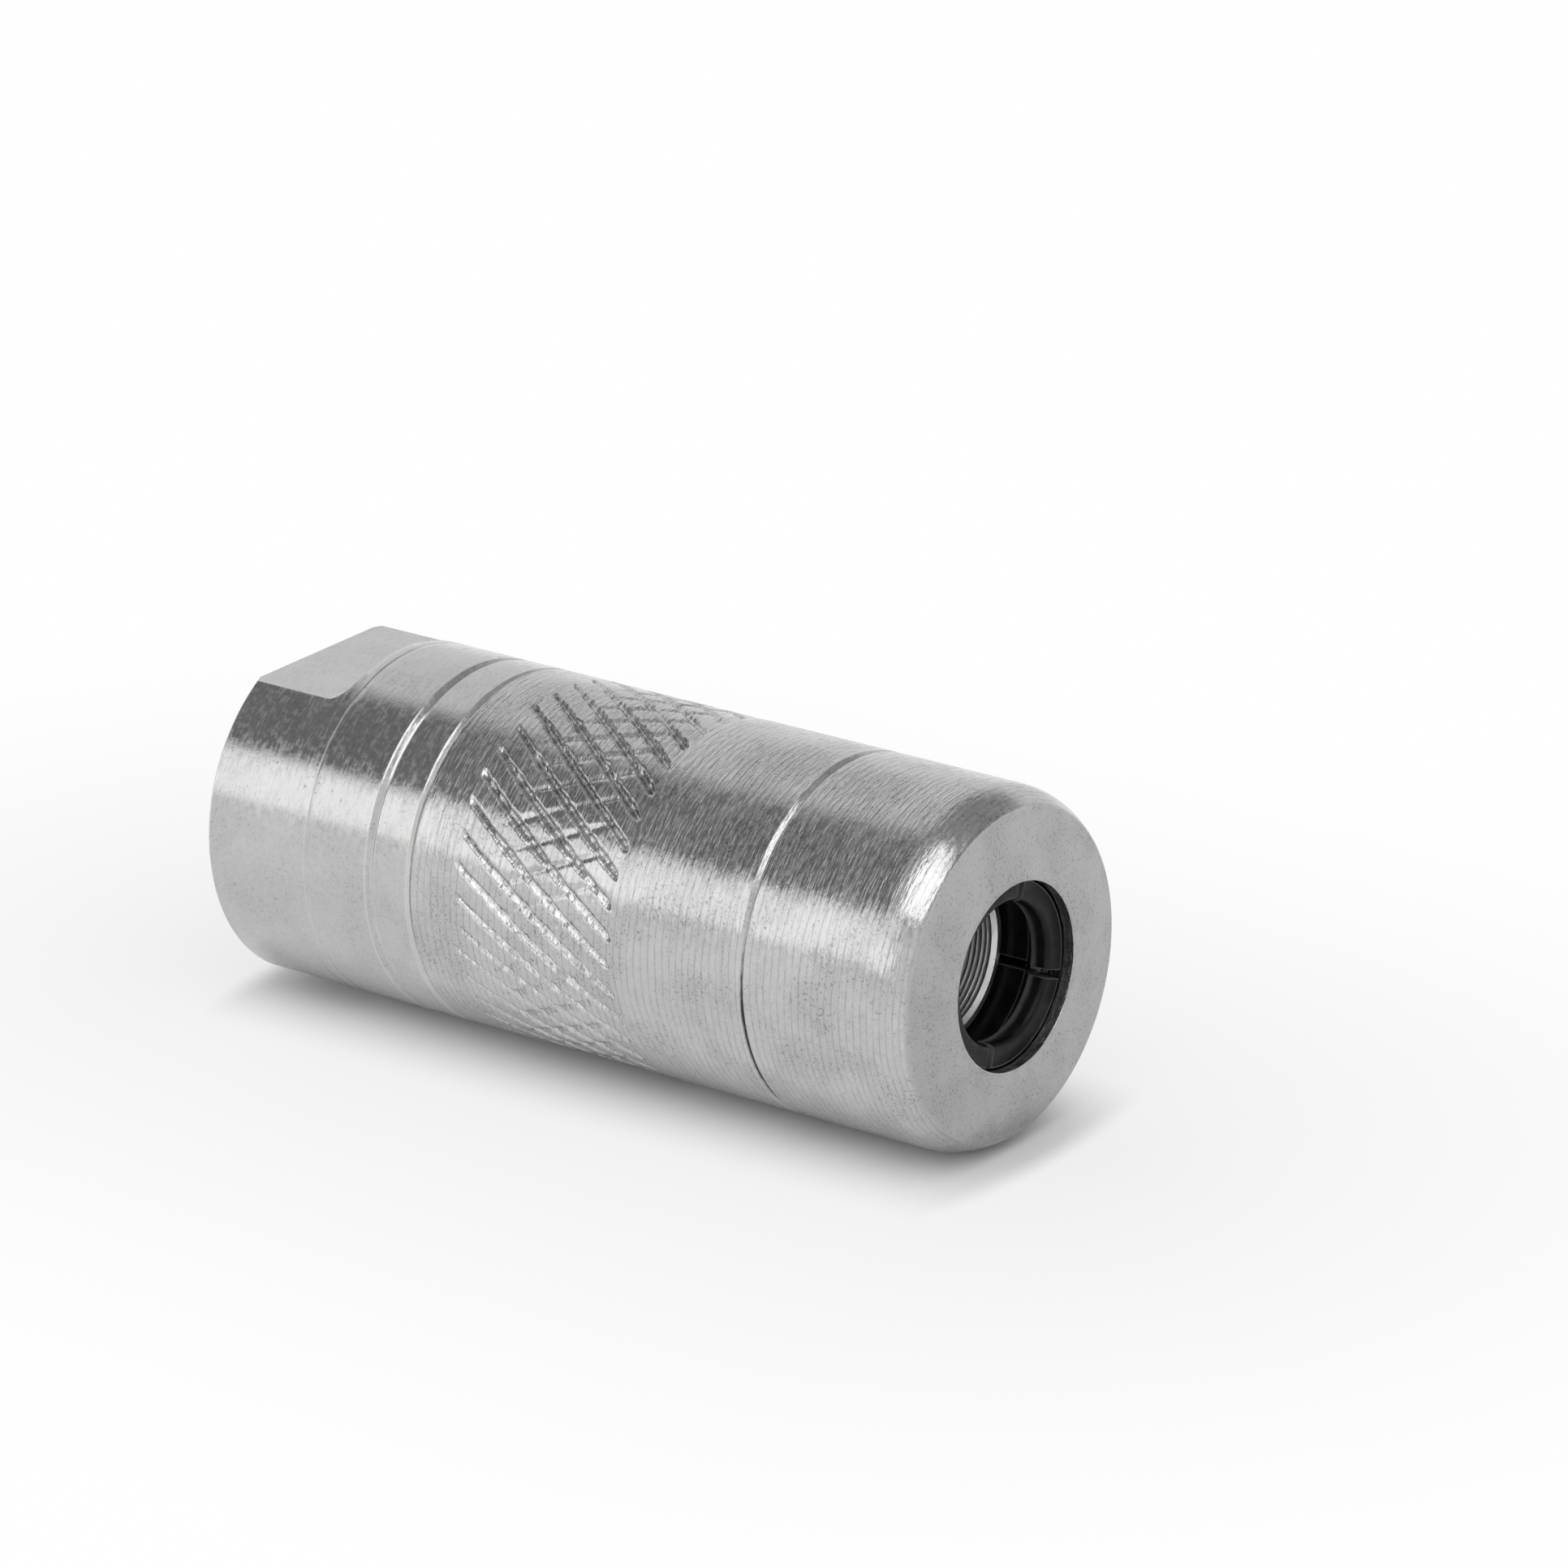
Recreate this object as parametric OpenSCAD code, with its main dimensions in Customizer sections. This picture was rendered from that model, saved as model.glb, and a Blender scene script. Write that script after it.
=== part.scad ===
// Four-jaw grease coupler: a knurled sleeve screwed onto a ported rear body.
// Inside, a spring pushes a seal holder and four jaws into the cone of the nose.
// Pushed onto a grease fitting, the jaws slide back, open, and close behind its head.
// The axis lies along X, from the hose port at the origin to the nose. Flats face up and down.

/* [Housing] */
// Outside diameter of the rear body and of the sleeve
body_d = 15; // [14.6:0.2:18]
// Length from the rear face to the nose
body_l = 36; // [35:0.5:42]
// Length of the rear body that shows behind the sleeve
rear_l = 10.9; // [9.9:0.1:12]
// Wall of the sleeve over the joint's thread
sleeve_wall = 1; // [0.7:0.05:1.2]
// Edge break on the rear face
rear_edge = 0.2; // [0.1:0.05:0.5]
// Edge break on each side of the joint between rear body and sleeve
joint_edge = 0.14; // [0.08:0.02:0.3]
// Length of the rounded nose edge, along the axis
nose_edge_l = 1.7; // [1:0.05:2.6]
// Depth of the rounded nose edge, across the axis
nose_edge_h = 0.6; // [0.4:0.02:0.9]
// Rise of the nose's face from its edge to the mouth
nose_crown = 0.28; // [0:0.02:0.4]

/* [Turned lines] */
// Distance of the rear body's V-groove from the rear face
rear_groove_x = 8.8; // [7:0.1:9.4]
// Width of the rear body's V-groove
rear_groove_w = 0.44; // [0.2:0.02:0.7]
// Distance of the sleeve's V-groove from the nose
nose_groove_x = 8.06; // [5:0.02:11]
// Width of the sleeve's V-groove
nose_groove_w = 0.32; // [0.2:0.02:0.7]

/* [Wrench flats] */
// Distance across the flats
flats_af = 12.7; // [11.6:0.1:14]
// Length of the flats from the rear face
flats_l = 4.75; // [3.5:0.25:6.5]
// Corner radius that the cutter leaves at the end of a flat
flats_corner_r = 0.8; // [0.2:0.1:1]

/* [Hose port] */
// Bore of the tapered pipe thread
port_d = 8.7; // [8.3:0.1:9.2]
// Depth of the bore to the start of its drill point
port_l = 8.4; // [7.6:0.1:9.2]
// Diameter of the countersink at the port's mouth
port_mouth_d = 10.2; // [9.6:0.1:11]
// Depth of the countersink
port_mouth_l = 0.45; // [0.2:0.05:0.5]
// Point angle of the drill that made the port
drill_point = 118; // [90:2:140]

/* [Check valve] */
// Diameter of the check ball
ball_d = 4; // [3.6:0.1:4.4]
// Lift of the ball off its seat
ball_lift = 1; // [0.6:0.1:1.2]
// Room between the ball and the wall of its chamber
ball_side_gap = 0.4; // [0.3:0.05:0.5]
// Diameter of the feed hole under the ball
seat_hole_d = 2.4; // [1.8:0.1:2.6]
// Length of the feed hole
seat_hole_l = 0.7; // [0.4:0.1:1.2]
// Wire of the check spring
check_wire_d = 0.3; // [0.2:0.02:0.34]
// Mean diameter of the check spring
check_spring_d = 2.5; // [2.1:0.1:2.8]
// Length of the check spring with the ball seated
check_spring_l = 2.4; // [2.2:0.1:3]
// Turns of the check spring
check_turns = 4; // [3:0.5:5]
// Thickness of the disc that holds the check spring
retainer_t = 0.6; // [0.4:0.1:1]
// Diameter of the passages in that disc
retainer_hole_d = 1.1; // [0.8:0.1:1.3]

/* [Jaws] */
// Diameter of the nose's mouth
mouth_d = 7.8; // [7.4:0.1:8.2]
// Length of the straight wall in the mouth
mouth_l = 0.55; // [0.4:0.05:1]
// Angle of the nose's inner cone to the axis
cone_angle = 20; // [17:0.5:23]
// Travel of the jaws and the seal holder along the axis
jaw_travel = 1.8; // [1.2:0.1:2]
// Length of a jaw
jaw_l = 7.95; // [7.4:0.05:8.6]
// Diameter of the gripping lips with the jaws closed
lip_d = 5.8; // [5.4:0.1:6.1]
// Length of the lips' straight land
lip_land_l = 0.5; // [0.3:0.05:0.8]
// Depth of the rounded lead-in in front of the lips
lead_in_l = 0.34; // [0.2:0.02:0.5]
// Width of the lead-in, across the axis
lead_in_h = 0.26; // [0.15:0.01:0.4]
// Angle of the gripping slope behind the lips to the axis
grip_angle = 50; // [40:1:65]
// Width of the slits between jaws
jaw_slit = 0.36; // [0.2:0.02:0.6]
// Turn of the slits about the axis
jaw_turn = -19; // [-44:1:45]
// Wire of the ring that spreads the jaws
ring_wire_d = 0.5; // [0.3:0.05:0.6]
// Opening angle of that ring
ring_open = 40; // [20:1:80]
// Distance of the ring from the back of the jaws
ring_back = 1.9; // [1.2:0.1:2.6]
// Thickness of the washer behind the jaws
washer_t = 0.6; // [0.4:0.1:0.9]

/* [Seal holder] */
// Outside diameter of the cup that takes the fitting's head
cup_d = 7.5; // [7.1:0.1:7.7]
// Bore of the cup
cup_bore_d = 6.34; // [6.2:0.02:6.6]
// Depth of the cup's rim behind the nose
cup_rim_depth = 3.37; // [3.2:0.05:3.9]
// Depth of the face seal's rim behind the cup's rim
seal_depth = 2.3; // [1.8:0.1:2.5]
// Length of the face seal
seal_l = 2.6; // [1.8:0.1:2.8]
// Depth of the dish in the face seal
seal_dish = 0.5; // [0.2:0.05:0.8]
// Thickness of the flange that the spring pushes
flange_t = 1; // [0.8:0.1:1.4]
// Diameter of the sliding stem
stem_d = 5.3; // [5:0.1:5.6]
// Bore for the grease
grease_bore_d = 1.8; // [1.2:0.1:2]
// Cross-section of the stem's O-ring
o_ring_wire_d = 1; // [0.8:0.05:1.1]
// Land between the end of the stem and the O-ring's groove
stem_land = 0.6; // [0.4:0.1:1]

/* [Rear body guide] */
// Wall of the boss round the stem
boss_wall = 1; // [0.6:0.1:1.2]
// Length of the boss inside the main spring
boss_l = 3.4; // [2.4:0.1:3.8]
// Length of the boss in front of the O-ring
boss_lead = 1.1; // [0.8:0.1:1.4]
// Wire of the main spring
spring_wire_d = 0.9; // [0.6:0.05:1]
// Turns of the main spring
spring_turns = 5; // [4:0.5:6]
// Width of the relief groove behind the joint's thread
relief_w = 0.8; // [0.4:0.1:1.2]
// Depth of that groove
relief_h = 0.5; // [0.2:0.1:0.8]
// Radial step between the sleeve's chamber and the joint's thread
thread_step = 0.35; // [0.2:0.05:0.5]

/* [Clearances] */
// Radial gap of sliding and screwed round fits
fit_gap = 0.05; // [0.02:0.01:0.08]
// Gap between the jaws and the nose's cone
cone_gap = 0.06; // [0.04:0.01:0.1]
// Radial gap between the cup and the closed jaws, the washer and the spreading ring
cup_gap = 0.1; // [0.06:0.02:0.2]
// Radial gap between the chamber and what moves in it
chamber_gap = 0.15; // [0.1:0.01:0.25]
// Radial gap between the main spring and the boss inside it
spring_gap = 0.35; // [0.2:0.05:0.5]
// Gap at seats where round pieces rest
seat_gap = 0.03; // [0.01:0.01:0.05]
// Axial room left at the end of the stem's travel
stem_slack = 0.3; // [0.2:0.05:0.6]

/* [Hidden] */
$fn = 96;

// Housing
body_r = body_d / 2;
nose_steps = 12;
nose_arc_r = (nose_edge_l ^ 2 + nose_edge_h ^ 2) / (2 * nose_edge_h);
nose_arc = asin(nose_edge_l / nose_arc_r);
nose_arc_x = body_l - nose_crown - nose_edge_l;
flats_half = flats_af / 2;

// Jaws and the cone, from the nose backwards
mouth_r = mouth_d / 2;
jaw_front_x = body_l - mouth_l;
jaw_back_x = jaw_front_x - jaw_l;
jaw_spread = jaw_travel * tan(cone_angle);
thread_r = body_r - sleeve_wall;
chamber_r = thread_r - thread_step;
jaw_r = chamber_r - chamber_gap - jaw_spread;
jaw_front_r = mouth_r - cone_gap / cos(cone_angle);
jaw_cone_l = (jaw_r - jaw_front_r) / tan(cone_angle);
cone_l = (chamber_r - mouth_r) / tan(cone_angle);
cavity_r = cup_d / 2 + cup_gap;
lip_r = lip_d / 2;
land_x = jaw_front_x - lead_in_l;
grip_x = land_x - lip_land_l;
grip_l = (cavity_r - lip_r) / tan(grip_angle);
lead_in_steps = 6;

// Spreading ring in its groove inside the jaws
ring_r = cavity_r + ring_wire_d / 2;
ring_x = jaw_back_x + ring_back;
ring_groove_w = ring_wire_d + 2 * cup_gap;
ring_groove_r = cavity_r + ring_wire_d + cup_gap;

// Washer and seal holder
washer_back_x = jaw_back_x - washer_t;
guide_r = chamber_r - chamber_gap;
flange_back_x = washer_back_x - flange_t;
cup_rim_x = body_l - cup_rim_depth;
cup_bore_r = cup_bore_d / 2;
cup_edge = 0.3 * (cup_d / 2 - cup_bore_r);
seal_front_x = cup_rim_x - seal_depth;
seal_back_x = seal_front_x - seal_l;
seal_rim_r = 0.8 * cup_bore_r;
grease_r = grease_bore_d / 2;
stem_r = stem_d / 2;

// Check valve, from the port forwards
port_r = port_d / 2;
seat_hole_r = seat_hole_d / 2;
drill_l = (port_r - seat_hole_r) / tan(drill_point / 2);
seat_x = port_l + drill_l + seat_hole_l;
ball_r = ball_d / 2;
check_r = ball_r + ball_side_gap;
// The seat is a cone at 45 degrees to the axis
ball_x = seat_x - seat_hole_r + sqrt(2) * (ball_r + seat_gap);
check_mean_r = check_spring_d / 2;
ball_reach = ball_r + check_wire_d / 2 + seat_gap;
check_spring_x = ball_x + sqrt(ball_reach ^ 2 - check_mean_r ^ 2) - check_wire_d / 2;
retainer_x = check_spring_x + check_spring_l;
retainer_front_x = retainer_x + retainer_t;
retainer_holes = 4;

// Stem, boss and main spring
stem_bore_r = stem_r + fit_gap;
stem_back_x = retainer_front_x + jaw_travel + stem_slack;
o_ring_groove_w = 1.2 * o_ring_wire_d;
o_ring_x = stem_back_x + stem_land + o_ring_groove_w / 2;
o_ring_r = stem_bore_r - seat_gap - o_ring_wire_d / 2;
o_ring_floor_r = o_ring_r - o_ring_wire_d / 2 - seat_gap;
boss_front_x = o_ring_x + o_ring_groove_w / 2 + boss_lead;
boss_r = stem_bore_r + boss_wall;
spring_seat_x = boss_front_x - boss_l;
spring_r = boss_r + spring_gap + spring_wire_d / 2;
spring_l = flange_back_x - spring_seat_x;

// Joint between rear body and sleeve
thread_runout = 0.4;
thread_end_x = spring_seat_x + thread_runout;
thread_lead = 0.3;

// Wire springs: sides of the wire, steps in a turn and pitch of the closed end turns in wires
wire_sides = 8;
turn_steps = 24;
end_pitch = 1.08;

// Turns a profile of [radius, place along X] points about the X axis
module turned(points) {
    rotate([0, 90, 0])
        rotate_extrude()
            polygon(points);
}

// Ring of triangular section that cuts a V-groove into a radius
module v_groove(x, width, radius) {
    depth = width / 2;
    turned([
        [radius - depth, x],
        [radius + depth, x - width],
        [radius + depth, x + width]
    ]);
}

// Place along a closed-end spring after a number of turns
function coil_place(t, turns, length, wire) =
    let (
        end_rise = end_pitch * wire,
        rise = (length - wire - 2 * end_rise) / (turns - 2)
    )
    t < 1 ? wire / 2 + t * end_rise
    : t > turns - 1 ? length - wire / 2 - (turns - t) * end_rise
    : wire / 2 + end_rise + (t - 1) * rise;

// Point on the wire's skin, from the turn and the angle round the wire
function coil_point(t, side, turns, length, mean_r, wire) =
    let (
        swing = mean_r + wire / 2 * cos(360 * side / wire_sides),
        place = coil_place(t, turns, length, wire) + wire / 2 * sin(360 * side / wire_sides)
    )
    [place, swing * cos(360 * t), swing * sin(360 * t)];

// Compression spring along X with closed ends, from x = 0 to its length
module coil_spring(turns, length, mean_r, wire) {
    rings = turns * turn_steps;
    points = [
        for (i = [0 : rings], s = [0 : wire_sides - 1])
            coil_point(i / turn_steps, s, turns, length, mean_r, wire)
    ];
    skin = [
        for (i = [0 : rings - 1], s = [0 : wire_sides - 1])
            let (a = i * wire_sides + s, b = i * wire_sides + (s + 1) % wire_sides)
            each [[a, b, b + wire_sides], [a, b + wire_sides, a + wire_sides]]
    ];
    first = [for (s = [wire_sides - 1 : -1 : 0]) s];
    last = [for (s = [0 : wire_sides - 1]) rings * wire_sides + s];
    polyhedron(points, concat(skin, [first, last]), convexity = 10);
}

// Cutter for one wrench flat, above the axis
module flat_cutter() {
    height = body_r - flats_half + flats_corner_r;
    translate([0, body_r, flats_half])
        rotate([90, 0, 0])
            linear_extrude(body_d)
                difference() {
                    translate([-rear_edge, 0])
                        square([flats_l + rear_edge, height]);
                    translate([flats_l - flats_corner_r, 0])
                        difference() {
                            square(flats_corner_r);
                            translate([0, flats_corner_r])
                                circle(flats_corner_r);
                        }
                }
}

// Rear body as turned: outside, spigot, boss, stem bore, check chamber and port
module rear_turned() {
    turned([
        [body_r - rear_edge, 0],
        [body_r, rear_edge],
        [body_r, rear_l - joint_edge],
        [body_r - joint_edge, rear_l],
        [thread_r - fit_gap - relief_h, rear_l],
        [thread_r - fit_gap - relief_h, rear_l + relief_w],
        [thread_r - fit_gap, rear_l + relief_w + relief_h],
        [thread_r - fit_gap, spring_seat_x - thread_lead],
        [thread_r - fit_gap - thread_lead, spring_seat_x],
        [boss_r, spring_seat_x],
        [boss_r, boss_front_x],
        [stem_bore_r, boss_front_x],
        [stem_bore_r, retainer_x],
        [check_r, retainer_x],
        [check_r, seat_x + check_r - seat_hole_r],
        [seat_hole_r, seat_x],
        [seat_hole_r, port_l + drill_l],
        [port_r, port_l],
        [port_r, port_mouth_l],
        [port_mouth_d / 2, 0]
    ]);
}

module rear_body() {
    color("silver")
        difference() {
            rear_turned();
            v_groove(rear_groove_x, rear_groove_w, body_r);
            flat_cutter();
            mirror([0, 0, 1])
                flat_cutter();
        }
}

module sleeve() {
    nose_edge = [
        for (i = [nose_steps : -1 : 0])
            let (a = nose_arc * i / nose_steps)
            [
                body_r - nose_arc_r * (1 - cos(a)),
                nose_arc_x + nose_arc_r * sin(a)
            ]
    ];
    bore = [
        [body_r, rear_l + joint_edge],
        [body_r - joint_edge, rear_l],
        [thread_r, rear_l],
        [thread_r, thread_end_x],
        [chamber_r, thread_end_x],
        [chamber_r, jaw_front_x - cone_l],
        [mouth_r, jaw_front_x],
        [mouth_r, body_l]
    ];
    color("silver")
        difference() {
            turned(concat(nose_edge, bore));
            v_groove(body_l - nose_groove_x, nose_groove_w, body_r);
        }
}

// The four jaws before they are slit: cone outside, lips and cavity inside
module jaw_blank() {
    lead_in = [
        for (i = [0 : lead_in_steps])
            let (a = 90 * i / lead_in_steps)
            [
                lip_r + lead_in_h * (1 - cos(a)),
                jaw_front_x - lead_in_l * (1 - sin(a))
            ]
    ];
    outside = [
        [jaw_front_r, jaw_front_x],
        [jaw_r, jaw_front_x - jaw_cone_l],
        [jaw_r, jaw_back_x],
        [cavity_r, jaw_back_x],
        [cavity_r, ring_x - ring_groove_w / 2],
        [ring_groove_r, ring_x - ring_groove_w / 2],
        [ring_groove_r, ring_x + ring_groove_w / 2],
        [cavity_r, ring_x + ring_groove_w / 2],
        [cavity_r, grip_x - grip_l],
        [lip_r, grip_x]
    ];
    turned(concat(lead_in, outside));
}

// One jaw: the quarter of the blank between two slits
module jaw(index) {
    color("dimgray")
        intersection() {
            jaw_blank();
            rotate([jaw_turn + 90 * index, 0, 0])
                translate([jaw_back_x - jaw_l, jaw_slit / 2, jaw_slit / 2])
                    cube([3 * jaw_l, body_d, body_d]);
        }
}

// Open wire ring that presses the jaws outwards
module jaw_ring() {
    color("gray")
        translate([ring_x, 0, 0])
            rotate([jaw_turn + ring_open / 2, 0, 0])
                rotate([0, 90, 0])
                    rotate_extrude(angle = 360 - ring_open)
                        translate([ring_r, 0])
                            circle(d = ring_wire_d, $fn = 24);
}

module jaw_washer() {
    color("slategray")
        turned([
            [cup_d / 2 + cup_gap, washer_back_x],
            [guide_r, washer_back_x],
            [guide_r, jaw_back_x],
            [cup_d / 2 + cup_gap, jaw_back_x]
        ]);
}

// Cup for the fitting's head, flange for the spring and sliding stem, in one turned piece
module seal_holder() {
    color("lightsteelblue")
        turned([
            [cup_bore_r + cup_edge, cup_rim_x],
            [cup_d / 2 - cup_edge, cup_rim_x],
            [cup_d / 2, cup_rim_x - cup_edge],
            [cup_d / 2, washer_back_x],
            [guide_r, washer_back_x],
            [guide_r, flange_back_x],
            [stem_r, flange_back_x],
            [stem_r, o_ring_x + o_ring_groove_w / 2],
            [o_ring_floor_r, o_ring_x + o_ring_groove_w / 2],
            [o_ring_floor_r, o_ring_x - o_ring_groove_w / 2],
            [stem_r, o_ring_x - o_ring_groove_w / 2],
            [stem_r, stem_back_x],
            [grease_r, stem_back_x],
            [grease_r, seal_back_x],
            [cup_bore_r, seal_back_x],
            [cup_bore_r, cup_rim_x - cup_edge]
        ]);
}

// Rubber seal with a dished face, on which the fitting's head seats
module face_seal() {
    color("black")
        turned([
            [grease_r, seal_back_x],
            [cup_bore_r - seat_gap, seal_back_x],
            [cup_bore_r - seat_gap, seal_front_x],
            [seal_rim_r, seal_front_x],
            [grease_r, seal_front_x - seal_dish]
        ]);
}

module stem_o_ring() {
    color("black")
        translate([o_ring_x, 0, 0])
            rotate([0, 90, 0])
                rotate_extrude()
                    translate([o_ring_r, 0])
                        circle(d = o_ring_wire_d, $fn = 32);
}

module main_spring() {
    color("gray")
        translate([spring_seat_x, 0, 0])
            coil_spring(spring_turns, spring_l, spring_r, spring_wire_d);
}

module check_ball() {
    color("lightgray")
        translate([ball_x, 0, 0])
            sphere(ball_r);
}

module check_spring() {
    color("gray")
        translate([check_spring_x, 0, 0])
            coil_spring(check_turns, check_spring_l, check_mean_r, check_wire_d);
}

// Disc with a centre hole and rim notches that lets the grease past the spring
module check_retainer() {
    outer_r = stem_bore_r - seat_gap;
    color("darkkhaki")
        translate([retainer_x, 0, 0])
            rotate([0, 90, 0])
                linear_extrude(retainer_t)
                    difference() {
                        circle(outer_r);
                        circle(d = retainer_hole_d);
                        for (i = [0 : retainer_holes - 1])
                            rotate(360 * i / retainer_holes)
                                translate([outer_r, 0])
                                    circle(d = retainer_hole_d);
                    }
}

rear_body();
sleeve();
jaw(0);  // jaw_1
jaw(1);  // jaw_2
jaw(2);  // jaw_3
jaw(3);  // jaw_4
jaw_ring();
jaw_washer();
seal_holder();
face_seal();
stem_o_ring();
main_spring();
check_ball();
check_spring();
check_retainer();
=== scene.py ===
"""Looks of a four-jaw grease coupler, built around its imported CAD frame.

A turned and knurled zinc-plated housing holds black gripping jaws, a spring-loaded plunger with a
rubber face seal, and a ball check valve. Lengths are millimetres in the CAD frame until a piece is
finished: the axis is X, from the mouth of the hose port to the nose, and the wrench flats face up
and down. Angles round the axis run from +Z towards -Y.
"""

import logging
import math
from collections.abc import Sequence
from dataclasses import dataclass, field
from enum import Enum
from typing import Any, ClassVar

import bmesh
import bpy
from mathutils import Matrix, Vector, noise


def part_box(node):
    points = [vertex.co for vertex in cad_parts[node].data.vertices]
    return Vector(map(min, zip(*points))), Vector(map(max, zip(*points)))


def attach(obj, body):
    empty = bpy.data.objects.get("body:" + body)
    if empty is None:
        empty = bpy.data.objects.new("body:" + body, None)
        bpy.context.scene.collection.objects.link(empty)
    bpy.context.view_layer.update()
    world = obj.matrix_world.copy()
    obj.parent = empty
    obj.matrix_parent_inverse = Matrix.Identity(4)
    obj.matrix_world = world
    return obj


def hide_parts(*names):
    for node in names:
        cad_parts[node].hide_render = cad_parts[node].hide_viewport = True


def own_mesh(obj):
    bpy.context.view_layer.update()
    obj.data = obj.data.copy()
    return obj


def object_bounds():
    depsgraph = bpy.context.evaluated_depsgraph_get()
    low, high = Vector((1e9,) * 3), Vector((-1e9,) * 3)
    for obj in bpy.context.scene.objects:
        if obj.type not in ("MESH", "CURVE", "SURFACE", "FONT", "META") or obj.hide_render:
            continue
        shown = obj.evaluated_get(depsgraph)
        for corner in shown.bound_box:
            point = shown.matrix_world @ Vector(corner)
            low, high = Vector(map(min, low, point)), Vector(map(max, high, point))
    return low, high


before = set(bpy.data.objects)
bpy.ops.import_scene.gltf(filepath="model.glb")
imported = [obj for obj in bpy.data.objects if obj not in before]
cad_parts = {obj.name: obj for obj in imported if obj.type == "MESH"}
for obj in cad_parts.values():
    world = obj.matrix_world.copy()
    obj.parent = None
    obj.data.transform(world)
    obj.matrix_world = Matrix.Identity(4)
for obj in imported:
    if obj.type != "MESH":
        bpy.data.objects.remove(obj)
CAD_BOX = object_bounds()

MM = 0.001
MICRON = 0.000001
FULL_TURN = 2 * math.pi
AXIS = Vector((1, 0, 0))
CENTRE = Vector((0, 0, 0))
# Vertices closer than this, in mm, are one
MERGE = 0.0005
# A full turn is spun as one sector and doubled this often, because a long spin is slow
SPIN_DOUBLINGS = 4
BEVEL_SEGMENTS = 2
# Names and sizes that assemblies share
JAWS = ("jaw_1", "jaw_2", "jaw_3", "jaw_4")
JAW_TURN = -19.0
MOUTH_R = 3.9
CONE_ANGLE = 20.0
JOINT_EDGE = 0.14
JOINT_GRIME = 0.25

Point = tuple[float, float]
Colour = tuple[float, float, float]
Socket = bpy.types.NodeSocket
BMesh = bmesh.types.BMesh

log = logging.getLogger("grease_coupler")


class Slot(Enum):
    """Material slots of the pieces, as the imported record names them."""

    ZINC = "zinc_steel"
    BLACK = "black_steel"
    BRIGHT = "bright_steel"
    SPRING = "spring_steel"
    BEARING = "bearing_steel"
    NITRILE = "nitrile"


class Body(Enum):
    """Bodies that carry one assembly each; every jaw has a body of its own beside these."""

    HOUSING = "housing"
    PLUNGER = "plunger"
    BALL = "check_ball"


class Joint(Enum):
    """Joints that the springs name."""

    PLUNGER_SLIDE = "plunger_slide"
    BALL_LIFT = "check_ball_lift"


class Mask(Enum):
    """Values kept on the vertices of a piece for its material."""

    # Grime, and painted shade along the rims of the knurl's grooves
    GRIME_AND_SHADE = "grime_and_shade"
    WEAR = "wear"
    # The nose face: no turning lines, more specks and a painted shade tone
    PLAIN = "plain"


def eased(low: float, high: float, value: float) -> float:
    """Smooth step from 0 at low to 1 at high."""
    share = min(1.0, max(0.0, (value - low) / (high - low)))
    return share * share * (3 - 2 * share)


def evenly(first: float, last: float, count: int) -> list[float]:
    """Places that divide a stretch into a count of even steps, both ends included."""
    return [first + (last - first) * i / count for i in range(count + 1)]


def radius_of(co: Vector) -> float:
    """Distance of a point from the axis."""
    return math.hypot(co.y, co.z)


def angle_of(co: Vector) -> float:
    """Angle of a point round the axis, from +Z towards -Y, in radians."""
    return math.atan2(-co.y, co.z)


def placed(along: float, radius: float, angle: float) -> Vector:
    """Point at a place along the axis, a radius and an angle."""
    return Vector((along, -radius * math.sin(angle), radius * math.cos(angle)))


@dataclass(frozen=True)
class Span:
    """Where a CAD node lies along the axis, and its largest radius."""

    back: float
    front: float
    radius: float

    @classmethod
    def of(cls, *nodes: str) -> "Span":
        """Reads the span of one node, or of several together, from the frame.

        Args:
            nodes: Names of CAD nodes.

        Returns:
            The span in millimetres.
        """
        corners = [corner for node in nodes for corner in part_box(node)]
        return cls(
            min(c.x for c in corners) / MM,
            max(c.x for c in corners) / MM,
            max(max(abs(c.y), abs(c.z)) for c in corners) / MM,
        )


def node_span(*nodes: str) -> Any:
    """Dataclass field that holds the span of one CAD node, or of several together."""
    return field(default_factory=lambda: Span.of(*nodes))


def cylinder(first: float, last: float, count: int, radius: float) -> list[Point]:
    """Profile of a cylinder, divided into a count of even steps."""
    return [(x, radius) for x in evenly(first, last, count)]


def v_groove(x: float, width: float, depth: float, radius: float) -> list[Point]:
    """Profile of a groove turned into a cylinder of that radius."""
    return [(x - width / 2, radius), (x, radius - depth), (x + width / 2, radius)]


def braced(chain: Sequence[Point], reach: float, bend: float = 1.0) -> list[Point]:
    """Adds a point beside each corner of a profile, so that long faces are shaded flat.

    Args:
        chain: Points of the profile in order.
        reach: Distance of the added points from their corner.
        bend: Smallest turn of the profile, in degrees, that counts as a corner.

    Returns:
        The profile with the added points.
    """
    ways = [Vector(b) - Vector(a) for a, b in zip(chain, chain[1:])]
    turns = [math.degrees(a.angle(b)) for a, b in zip(ways, ways[1:])]
    corners = [True, *[turn > bend for turn in turns], True]
    made = []
    for index, (point, way) in enumerate(zip(chain, ways)):
        made.append(point)
        # A face this short has no room for a point beside each of its ends
        if way.length < 3 * reach:
            continue
        start, aside = Vector(point), way.normalized() * reach
        if corners[index]:
            made.append(tuple(start + aside))
        if corners[index + 1]:
            made.append(tuple(start + way - aside))
    return [*made, chain[-1]]


def linked(name: str, data: bpy.types.ID) -> bpy.types.Object:
    """Puts a mesh, a lamp or a camera into the scene.

    Args:
        name: Name of the object.
        data: What the object shows.

    Returns:
        The object, at the origin.
    """
    made = bpy.data.objects.new(name, data)
    bpy.context.scene.collection.objects.link(made)
    return made


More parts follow.
